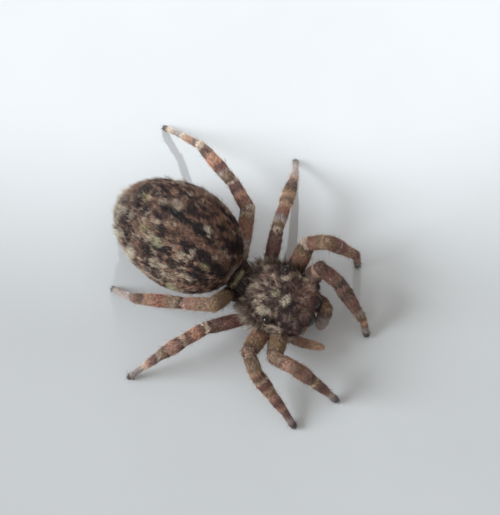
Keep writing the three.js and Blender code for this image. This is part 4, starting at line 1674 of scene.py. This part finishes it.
class Skin:
    """The one skin over all the flesh, and what the coat needs to know of it.

    Attributes:
        VOXEL: The remesh's cell, in mm, which keeps the skin under 200,000 triangles.
        SMOOTHINGS: How often the remeshed skin is smoothed.
        SHADE: How dark the skin is beside the hair over it.
    """

    VOXEL = 0.0322
    SMOOTHINGS = 2
    SHADE = 0.6

    def __init__(self, parts: Sequence[Flesh]) -> None:
        """Sculpts the parts, fuses them and reads the skin's faces.

        Args:
            parts: All that the skin covers.
        """
        self.parts = tuple(parts)
        self.mesh = self._fused()
        faces = self.mesh.polygons
        self.centres = self._read(faces, "center")
        self.normals = self._read(faces, "normal")
        self.areas = self._read(faces, "area", 1)[:, 0]
        self.owner = self.owners(self.centres)

    @staticmethod
    def _read(items: bpy.types.bpy_prop_collection, name: str, size: int = 3) -> np.ndarray:
        """A property of each item, as rows."""
        values = np.zeros(len(items) * size)
        items.foreach_get(name, values)
        return values.reshape(-1, size)

    def _fused(self) -> bpy.types.Mesh:
        """The parts' shapes as one closed mesh, in mm."""
        clay = bmesh.new()
        for part in self.parts:
            part.sculpt(clay)
        rough = bpy.data.meshes.new("clay")
        clay.to_mesh(rough)
        clay.free()
        lump = linked("clay", rough)
        remesh = lump.modifiers.new("fuse", "REMESH")
        remesh.mode = "VOXEL"
        remesh.voxel_size = self.VOXEL
        graph = bpy.context.evaluated_depsgraph_get()
        fused = bpy.data.meshes.new_from_object(lump.evaluated_get(graph))
        bpy.data.objects.remove(lump)
        bpy.data.meshes.remove(rough)
        smooth = bmesh.new()
        smooth.from_mesh(fused)
        for _ in range(self.SMOOTHINGS):
            bmesh.ops.smooth_vert(
                smooth, verts=smooth.verts, factor=0.5, use_axis_x=True, use_axis_y=True, use_axis_z=True
            )
        bmesh.ops.recalc_face_normals(smooth, faces=smooth.faces)
        smooth.to_mesh(fused)
        smooth.free()
        return fused

    def owners(self, points: np.ndarray) -> np.ndarray:
        """Which part each place belongs to."""
        return np.argmin([part.nearness(points) for part in self.parts], axis=0)

    def markings(self, points: np.ndarray, normals: np.ndarray) -> np.ndarray:
        """The coat's colours at places on the skin."""
        owner = self.owners(points)
        colours = np.zeros((len(points), 3))
        for i, part in enumerate(self.parts):
            mine = owner == i
            if mine.any():
                colours[mine] = part.dressed(points[mine], normals[mine]).colour
        return colours

    def piece(self, material: bpy.types.Material) -> bpy.types.Object:
        """The skin as a finished piece that stands for all the solids of flesh."""
        verts = self.mesh.vertices
        colours = np.ones((len(verts), 4))
        colours[:, :3] = self.markings(self._read(verts, "co"), self._read(verts, "normal")) * self.SHADE
        marking = self.mesh.color_attributes.new("marking", "FLOAT_COLOR", "POINT")
        marking.data.foreach_set("color", colours.astype(np.float32).ravel())
        self.mesh.transform(Matrix.Scale(MM, 4))
        self.mesh.materials.clear()
        self.mesh.materials.append(material)
        self.mesh.shade_smooth()
        self.mesh.name = "skin"
        return linked("skin", self.mesh)


# ------------------------------------------------------------------ coat


class Hair:
    """One flattened, tapered hair, a few faces big, that the whole coat is copied from.

    Attributes:
        SIDES: How many faces go round it.
        WAIST: Where its ring is, up to which it stays full, as a share of its length.
        FLATNESS: Its thickness beside its width.
        CAP, CAP_AT: The size of its root's cap on its own small unwrap, and how far down that lies.
        FAN, FAN_AT: The same of its sides.
    """

    SIDES = 3
    WAIST = 0.42
    FLATNESS = 0.5
    CAP = (0.15, 0.06)
    CAP_AT = -0.44
    FAN = 0.9
    FAN_AT = -0.4
    END = 0.1

    def __init__(self) -> None:
        """Makes the hair from a cone with one ring cut into it, and reads it into arrays."""
        made = bmesh.new()
        bmesh.ops.create_cone(made, cap_ends=True, segments=self.SIDES, radius1=1.0, radius2=0.0, depth=1.0)
        bmesh.ops.remove_doubles(made, verts=made.verts, dist=1e-4)
        bmesh.ops.translate(made, vec=UP / 2, verts=made.verts)
        ringed(made, (self.WAIST,))
        for vert in made.verts:
            if self.END < vert.co.z < 1 - self.END:
                vert.co.x, vert.co.y = vert.co.x / (1 - self.WAIST), vert.co.y / (1 - self.WAIST)
        bmesh.ops.recalc_face_normals(made, faces=made.faces)
        self.places = np.array([vert.co for vert in made.verts])
        self.sizes = np.array([len(face.verts) for face in made.faces])
        self.loops = np.array([vert.index for face in made.faces for vert in face.verts])
        self.patch = np.array([corner for face in made.faces for corner in self._patch(face)])
        made.free()

    def _patch(self, face: bmesh.types.BMFace) -> list[tuple[float, float]]:
        """Where a face's corners lie on the hair's own small unwrap, from -0.5 to 0.5."""
        if max(vert.co.z for vert in face.verts) < self.END:
            wide, high = self.CAP
            return [(wide * vert.co.x, high * vert.co.y + self.CAP_AT) for vert in face.verts]
        middle = face.calc_center_median()
        turn = math.atan2(middle.y, middle.x)
        corners = []
        for vert in face.verts:
            step = 0.0
            if math.hypot(vert.co.x, vert.co.y) > 0.01:
                step = (math.atan2(vert.co.y, vert.co.x) - turn + math.pi) % math.tau - math.pi
            corners.append(((turn + step) / math.tau * self.FAN, vert.co.z * self.FAN + self.FAN_AT))
        return corners


@dataclass
class Roots:
    """Where hairs grow: places and normals on the skin, and the coat there.

    A hair takes the colour of the place that its outer part covers, so a marking shows where it is drawn.
    """

    places: np.ndarray
    normals: np.ndarray
    coat: Dressed
    chart: np.ndarray
    spread: np.ndarray

    SHOWN = 0.55

    @classmethod
    def sown(cls, skin: Skin, members: Sequence[int], growth: "Growth", rng: np.random.Generator) -> "Roots":
        """Scatters roots evenly over some parts of the skin.

        Args:
            skin: The skin.
            members: The numbers of the parts.
            growth: Says how many hairs there are and which places may have them.
            rng: The source of chance.

        Returns:
            The roots.
        """
        count = growth.count
        density = np.array([part.fur.density for part in skin.parts])
        weight = np.where(np.isin(skin.owner, members), skin.areas * density[skin.owner], 0.0)
        if growth.keep is not None:
            weight = weight * growth.keep(skin.centres)
        faces = rng.choice(len(weight), size=count, p=weight / weight.sum())
        half = np.sqrt(skin.areas[faces]) / 2
        normals = skin.normals[faces]
        side = unit(np.cross(normals, [0.31, 0.17, 0.93]))
        over = np.cross(normals, side)
        step = rng.uniform(-1, 1, (2, count)) * half
        places = skin.centres[faces] + side * step[0][:, None] + over * step[1][:, None]
        owner = skin.owner[faces]
        rows: dict[str, np.ndarray] = {}
        chart = np.zeros((count, 2))
        spread = np.zeros(count)
        for member in members:
            mine = owner == member
            if not mine.any():
                continue
            part = skin.parts[member]
            coat = part.dressed(places[mine], normals[mine])
            flat = swung(coat.lie, normals[mine], np.zeros(mine.sum()))
            shown = part.dressed(places[mine] + flat * coat.length[:, None] * cls.SHOWN, normals[mine])
            coat = replace(coat, colour=shown.colour)
            for name, values in vars(coat).items():
                rows.setdefault(name, np.zeros((count, *values.shape[1:])))[mine] = values
            chart[mine] = part.chart(places[mine])
            spread[mine] = part.fur.spread
        return cls(places, normals, Dressed(**rows), chart, spread)


@dataclass(frozen=True)
class Growth:
    """One piece of the coat: where it grows, and how its hair differs from the parts' own.

    Attributes:
        name: The piece's name.
        slot: Its material slot, which is not used.
        on: How the names of the parts that it grows on start.
        count: How many hairs.
        seed: Of its chance.
        keep: Says which places may have hair, where not all may.
        longer: Scales the length.
        finer: Scales the width.
        steeper: Scales the lift.
    """

    name: str
    slot: str
    on: tuple[str, ...]
    count: int
    seed: int
    keep: Test | None = None
    longer: float = 1.0
    finer: float = 1.0
    steeper: float = 1.0


class Coat:
    """Grows pieces of the coat on a skin.

    Attributes:
        PATCH: The size of a hair's own unwrap on the whole coat's.
        SINK: How deep a hair's root lies in the skin, in mm.
        GROUND: How far above the ground a hair's root stays, and its tip twice as far, in mm.
        SIZE_RANGE: The least and the greatest scale of a hair's length and width.
        LIFT_RANGE: The same of its lift.
        TONE_RANGE: The same of its colour.
        WARMTH: How far a hair's red and blue stray.
        DROOP: How far a hair bends over by its tip.
        STEEP: How much of the lift shortens a hair's reach along the skin, and the most that it may.
    """

    PATCH = 0.003
    SINK = 0.006
    GROUND = 0.004
    SIZE_RANGE = (0.75, 1.25)
    LIFT_RANGE = (0.6, 1.4)
    TONE_RANGE = (0.78, 1.25)
    WARMTH = 0.035
    DROOP = 0.45
    STEEP = (0.6, 0.9)

    def __init__(self, skin: Skin, material: bpy.types.Material) -> None:
        """Keeps the skin and the finish of the hair."""
        self.skin = skin
        self.material = material
        self.hair = Hair()

    def grown(self, growth: Growth) -> bpy.types.Object:
        """Grows one piece of the coat."""
        rng = np.random.default_rng(growth.seed)
        members = [i for i, part in enumerate(self.skin.parts) if part.name.startswith(growth.on)]
        roots = Roots.sown(self.skin, members, growth, rng)
        coat, hair, count, normals = roots.coat, self.hair, growth.count, roots.normals
        along = swung(coat.lie, normals, rng.normal(0, 1, count) * roots.spread)
        side = np.cross(normals, along)
        length = coat.length * growth.longer * rng.uniform(*self.SIZE_RANGE, count)
        width = coat.width * growth.finer * rng.uniform(*self.SIZE_RANGE, count) / 2
        lift = coat.lift * growth.steeper * rng.uniform(*self.LIFT_RANGE, count)
        reach = hair.places[:, 2][None, :, None]
        bow = reach * (1 - self.DROOP * reach)
        share, most = self.STEEP
        tilt = np.sqrt(1 - np.clip(lift * share, 0, most) ** 2)
        across, through = ((hair.places[:, i][None] * width[:, None])[..., None] for i in (0, 1))
        places = (
            (roots.places - normals * self.SINK)[:, None]
            + along[:, None] * reach * (length * tilt)[:, None, None]
            + normals[:, None] * bow * (length * lift)[:, None, None]
            + side[:, None] * across
            + normals[:, None] * through * hair.FLATNESS
        )
        places[..., 2] = np.maximum(places[..., 2], self.GROUND * (1 + reach[..., 0]))
        colour = np.ones((count, 4))
        tone = rng.uniform(*self.TONE_RANGE, count)
        warmth = rng.normal(0, self.WARMTH, count)
        shift = np.stack([1 + warmth, np.ones(count), 1 - warmth], axis=1)
        colour[:, :3] = coat.colour * tone[:, None] * shift
        return self._piece(growth.name, places * MM, colour, roots.chart)

    def _piece(
        self, name: str, places: np.ndarray, colour: np.ndarray, chart: np.ndarray
    ) -> bpy.types.Object:
        """Joins hairs into one mesh.

        Args:
            name: The piece's name.
            places: The points of each hair, in metres.
            colour: The colour of each hair.
            chart: Where each root lies on the unwrap.

        Returns:
            The finished piece.
        """
        hair, count = self.hair, len(places)
        points = len(hair.places)
        mesh = bpy.data.meshes.new(name)
        mesh.vertices.add(count * points)
        mesh.vertices.foreach_set("co", places.astype(np.float32).ravel())
        loops = hair.loops[None] + (np.arange(count) * points)[:, None]
        mesh.loops.add(loops.size)
        mesh.loops.foreach_set("vertex_index", loops.astype(np.int32).ravel())
        sizes = np.tile(hair.sizes, count)
        mesh.polygons.add(len(sizes))
        mesh.polygons.foreach_set("loop_start", (np.cumsum(sizes) - sizes).astype(np.int32))
        mesh.update(calc_edges=True)
        tint = mesh.color_attributes.new("tint", "FLOAT_COLOR", "POINT")
        tint.data.foreach_set("color", np.repeat(colour, points, axis=0).astype(np.float32).ravel())
        reach = mesh.attributes.new("reach", "FLOAT", "POINT")
        reach.data.foreach_set("value", np.tile(hair.places[:, 2], count).astype(np.float32))
        baked = mesh.uv_layers.new(name="OFBake")
        spots = np.clip(chart, self.PATCH, 1 - self.PATCH)[:, None] + hair.patch[None] * self.PATCH
        baked.data.foreach_set("uv", spots.astype(np.float32).ravel())
        mesh.materials.append(self.material)
        mesh.shade_smooth()
        mesh.validate()
        return linked(name, mesh)


def growths(abdomen: Abdomen, carapace: Carapace) -> list[Growth]:
    """All the pieces of the coat, in the order they are made."""
    back, face, head = ("abdomen",), ("carapace",), ("carapace", "palp")
    rest = ("underside", "waist", "spinneret")
    return [
        *(Growth(f"abdomen_coat_{i + 1}", "abdomen_coat", back, 18000, 100 + i) for i in range(3)),
        *(Growth(f"carapace_coat_{i + 1}", "carapace_coat", head, 15000, 200 + i) for i in range(2)),
        *(
            Growth(f"leg_coat_{leg}", "leg_coat", (f"leg_{leg}",), 5600, 300 + i)
            for i, leg in enumerate(LEGS)
        ),
        Growth("brow_fringe", "carapace_coat", face, 1500, 210, carapace.on_brow, 2.0, 0.9, 0.8),
        Growth("carapace_fringe", "carapace_coat", face, 2600, 214, carapace.on_hem, 1.6, 0.85, 2.6),
        Growth("carapace_bristles", "carapace_coat", face, 500, 211, None, 1.7, 0.7, 2.0),
        Growth("abdomen_fringe", "abdomen_coat", back, 3800, 212, abdomen.at_tail, 1.5, 0.85, 1.9),
        Growth("leg_bristles", "leg_coat", ("leg",), 3600, 213, None, 1.7, 0.75, 2.2),
        Growth("underside_coat", "underside_coat", rest, 7000, 400),
    ]


# ------------------------------------------------------------------ eyes, jaws and claws


@dataclass(frozen=True)
class Eyes:
    """The eight lenses."""

    body: BodyFrame
    material: bpy.types.Material
    steps: tuple[int, int] = (36, 24)

    def build(self) -> list[bpy.types.Object]:
        """Makes each lens a smooth bead in place of its solid."""
        made = []
        around, down = self.steps
        for eye, (word, hand) in itertools.product(EYES, HANDS.items()):
            bead = bmesh.new()
            move = facing(eye.look(hand), eye.middle(self.body, hand))
            bmesh.ops.create_uvsphere(bead, u_segments=around, v_segments=down, radius=eye.radius)
            bmesh.ops.transform(bead, matrix=move, verts=bead.verts)
            piece = finished(f"{eye.name}_eye_{word}", bead, self.material)
            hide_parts(f"eye_{eye.name}_{word}")
            made.append(piece)
        return made


@dataclass(frozen=True)
class Jaws:
    """The two chelicerae, each with a folded fang.

    Attributes:
        root: Where the left jaw starts: forward, out and up.
        tip: Where it ends.
        radii: Its radius at the root, the belly and the tip.
        fang_root: Where its fang starts.
        fang_way: The way the fang points: out, back and up.
        fang_length: Of the fang, in mm.
        fang_radii: The fang's radius at its root and its tip.
        fang_rings: Heights on the fang, from its middle, at which it can bend.
        fang_bend: How much the fang curves.
    """

    body: BodyFrame
    material: bpy.types.Material
    root: tuple[float, float, float] = (1.16, 0.19, 0.8)
    tip: tuple[float, float, float] = (1.19, 0.1995, 0.46)
    radii: tuple[float, float, float] = (0.15, 0.165, 0.1)
    fang_root: tuple[float, float, float] = (1.18, 0.22, 0.38)
    fang_way: tuple[float, float, float] = (-0.8, 0.55, -0.2)
    fang_length: float = 0.2
    fang_radii: tuple[float, float] = (0.035, 0.002)
    fang_rings: tuple[float, ...] = (-0.06, -0.02, 0.02, 0.06)
    fang_bend: float = 2.2

    def fang(self) -> bmesh.types.BMesh:
        """A curved spike along +Z."""
        spike = bmesh.new()
        thick, thin = self.fang_radii
        bmesh.ops.create_cone(
            spike, cap_ends=True, segments=10, radius1=thick, radius2=thin, depth=self.fang_length
        )
        ringed(spike, self.fang_rings)
        for vert in spike.verts:
            vert.co.x += self.fang_bend * (vert.co.z + self.fang_length / 2) ** 2
        return spike

    def build(self) -> list[bpy.types.Object]:
        """Makes both jaws."""
        made = []
        for word, hand in HANDS.items():
            root, tip, base = (
                self.body.at(forward, hand * out, up)
                for forward, out, up in (self.root, self.tip, self.fang_root)
            )
            jaw = Barrel(root, tip, self.radii).solid()
            out, back, up = self.fang_way
            added(jaw, self.fang(), facing(Vector((hand * out, back, up)).normalized(), base))
            piece = finished(f"jaw_{word}", jaw, self.material)
            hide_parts(f"chelicera_{word}")
            made.append(piece)
        return made


@dataclass(frozen=True)
class Claws:
    """Two small hooks at the tip of each leg.

    Attributes:
        length: Of a claw, in mm.
        radii: Its radius at its root and its tip.
        rings: Shares of its length at which it can bend.
        hooked: How much it curves.
        spread: How far each stands from the leg's middle.
        ahead: How far past the leg's tip its root is.
        level: How much it turns from the leg's way to the level.
        aside: How much it turns out.
        ground: The least height of any of its points.
    """

    body: BodyFrame
    material: bpy.types.Material
    length: float = 0.1
    radii: tuple[float, float] = (0.013, 0.001)
    rings: tuple[float, ...] = (0.25, 0.5, 0.75)
    hooked: float = 5.0
    spread: float = 0.02
    ahead: float = 0.02
    level: float = 0.4
    aside: float = 0.2
    ground: float = 0.002

    def hook(self) -> bmesh.types.BMesh:
        """One claw along +Z that curves towards +X."""
        claw = bmesh.new()
        thick, thin = self.radii
        bmesh.ops.create_cone(claw, cap_ends=True, segments=6, radius1=thick, radius2=thin, depth=self.length)
        bmesh.ops.translate(claw, vec=(0, 0, self.length / 2), verts=claw.verts)
        ringed(claw, [share * self.length for share in self.rings])
        for vert in claw.verts:
            vert.co.x += self.hooked * vert.co.z**2
        return claw

    def build(self) -> bpy.types.Object:
        """Makes all sixteen claws one piece."""
        claws = bmesh.new()
        for leg in LEGS.values():
            *_, ankle, tip = leg.joints(self.body)
            way = (tip - ankle).normalized()
            level = Vector((way.x, way.y, 0)).normalized()
            side = level.cross(UP)
            for hand in HANDS.values():
                forward = (way + level * self.level + side * hand * self.aside).normalized()
                down = (forward * forward.z - UP).normalized()
                turn = Matrix((down, forward.cross(down), forward)).transposed().to_4x4()
                place = tip + way * self.ahead + side * hand * self.spread
                added(claws, self.hook(), Matrix.Translation(place) @ turn)
        for vert in claws.verts:
            vert.co.z = max(vert.co.z, self.ground)
        piece = finished("claws", claws, self.material)
        return piece


# ------------------------------------------------------------------ studio


@dataclass(frozen=True)
class Studio:
    """A pale floor, soft light and the camera that looks down on the spider's back.

    Attributes:
        body: The body, which the camera is placed by.
        azimuth: The camera's turn round the body, in degrees from straight ahead.
        elevation: Its height over the floor, in degrees.
        distance: From what it looks at, in mm.
        lens: Its focal length.
        aim: How far right of and above the body's origin, as the camera sees them, it looks.
        aim_height: How far above the floor it looks.
        floor_half: Half the floor's side.
        key_way: Where the key comes from: how far left, and how far up.
        key_power: The key's strength.
        key_angle: The key's width in the sky, in degrees.
        key_colour: The key's colour.
        far_way: Where the far lamp stands: how far away, and how far up.
        far_power: The far lamp's strength.
        far_colour: The far lamp's colour.
        far_radius: The far lamp's own size, which softens its shadows and its pool's edge.
        far_distance: How far the far lamp is from the middle of its pool.
        pool_away: How far past the body the middle of the pool is.
        pool_radius: Half the pool's width.
        pool_blend: How much of the pool's edge fades of itself.
        sky_colour: The sky's colour.
        sky_power: The sky's strength.
    """

    body: BodyFrame
    azimuth: float = -68.2
    elevation: float = 78.0
    distance: float = 90.0
    lens: float = 238.6
    aim: tuple[float, float] = (-0.534, 1.020)
    aim_height: float = 0.8
    floor_half: float = 400.0
    key_way: tuple[float, float] = (0.89, 0.46)
    key_power: float = 2.7
    key_angle: float = 30
    key_colour: tuple[float, float, float] = (0.9, 0.97, 1.0)
    far_way: tuple[float, float] = (0.72, 0.66)
    far_power: float = 5.1
    far_colour: tuple[float, float, float] = (0.92, 0.98, 1.0)
    far_radius: float = 1.6
    far_distance: float = 300.0
    pool_away: float = 114.1
    pool_radius: float = 60.0
    pool_blend: float = 0.02
    sky_colour: tuple[float, float, float] = (1.0, 0.985, 0.94)
    sky_power: float = 0.43

    def axes(self) -> tuple[Vector, Vector, Vector]:
        """The camera's right, up and backward directions."""
        turn, slope = math.radians(self.azimuth), math.radians(self.elevation)
        level = math.cos(slope)
        back = Vector((math.sin(turn) * level, -math.cos(turn) * level, math.sin(slope)))
        right = Vector((math.cos(turn), math.sin(turn), 0))
        return right, back.cross(right), back

    def camera(self) -> None:
        """Places the camera and makes it the scene's."""
        right, up, back = self.axes()
        aim_right, aim_up = self.aim
        aim = self.body.at(0, 0, self.aim_height) + right * aim_right + up * aim_up
        data = bpy.data.cameras.new("camera")
        data.lens = self.lens
        data.clip_start = 0.001
        data.clip_end = 10.0
        eye = linked("camera", data)
        turn = Matrix((right, up, back)).transposed().to_4x4()
        eye.matrix_world = Matrix.Translation((aim + back * self.distance) * MM) @ turn
        bpy.context.scene.camera = eye

    @staticmethod
    def lamp(
        name: str, kind: str, toward: Vector, power: float, colour: tuple[float, float, float]
    ) -> bpy.types.Object:
        """Adds a lamp that shines from one side.

        Args:
            name: The lamp's name.
            kind: The lamp's type.
            toward: Where its light comes from.
            power: Its strength.
            colour: Its colour.

        Returns:
            The lamp, at the origin.
        """
        data = bpy.data.lights.new(name, kind)
        data.energy = power
        data.color = colour
        lamp = linked(name, data)
        lamp.rotation_mode = "QUATERNION"
        lamp.rotation_quaternion = toward.to_track_quat("Z", "Y")
        return lamp

    def lights(self) -> None:
        """A soft low key from the left, a lamp whose pool lights the far side's floor, and a pale sky."""
        right, up, _ = self.axes()
        left, high = self.key_way
        key = self.lamp("key", "SUN", UP * high - right * left, self.key_power, self.key_colour)
        key.data.angle = math.radians(self.key_angle)

        ahead = Vector((up.x, up.y, 0)).normalized()
        away, high = self.far_way
        toward = (ahead * away + UP * high).normalized()
        far = self.lamp("far_lamp", "SPOT", toward, self.far_power, self.far_colour)
        far.location = (ahead * self.pool_away + toward * self.far_distance) * MM
        far.data.spot_size = 2 * math.atan(self.pool_radius / self.far_distance)
        far.data.spot_blend = self.pool_blend
        far.data.shadow_soft_size = self.far_radius * MM

        world = bpy.data.worlds.new("sky")
        world.use_nodes = True
        sky = world.node_tree.nodes["Background"]
        sky.inputs["Color"].default_value = (*self.sky_colour, 1)
        sky.inputs["Strength"].default_value = self.sky_power
        bpy.context.scene.world = world
        bpy.context.scene.view_settings.view_transform = "Standard"

    def floor(self, material: bpy.types.Material) -> None:
        """Lays the floor."""
        sheet = bmesh.new()
        bmesh.ops.create_grid(sheet, x_segments=2, y_segments=2, size=self.floor_half)
        ground = finished("floor", sheet, material)


# ------------------------------------------------------------------ assembly


def flesh(body: BodyFrame, abdomen: Abdomen, carapace: Carapace) -> list[Flesh]:
    """All that the one skin covers."""
    return [
        abdomen,
        carapace,
        *(palp.limb(name, body) for name, palp in PALPS.items()),
        *(leg.limb(name, body) for name, leg in LEGS.items()),
        Underside(body, tuple(leg.coxa(body) for leg in LEGS.values())),
        waist(body),
        *spinnerets(abdomen),
    ]


def main() -> None:
    """Builds the spider and its studio."""
    logging.basicConfig(level=logging.INFO, format="%(name)s: %(message)s")
    body = BodyFrame.from_eye(EYES[0])
    grain = grain_group()
    hide, hair, lens, jaw, claw, ground = (
        finish.material(grain) for finish in (HIDE, HAIR, LENS, JAW, CLAW, GROUND)
    )

    studio = Studio(body)
    studio.camera()
    studio.lights()
    studio.floor(ground)

    abdomen = Abdomen(body)
    carapace = Carapace(body)
    parts = flesh(body, abdomen, carapace)
    skin = Skin(parts)
    LOG.info("skin: %d faces", len(skin.mesh.polygons))

    coat = Coat(skin, hair)
    for growth in growths(abdomen, carapace):
        piece = coat.grown(growth)
        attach(piece, "root")
        LOG.info("%s: %d faces", piece.name, len(piece.data.polygons))

    whole = skin.piece(hide)
    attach(whole, "root")
    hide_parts(*(node for part in parts for node in part.nodes))
    for piece in (*Eyes(body, lens).build(), *Jaws(body, jaw).build(), Claws(body, claw).build()):
        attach(piece, "root")
        LOG.info("%s: %d faces", piece.name, len(piece.data.polygons))


if __name__ == "__main__":
    main()
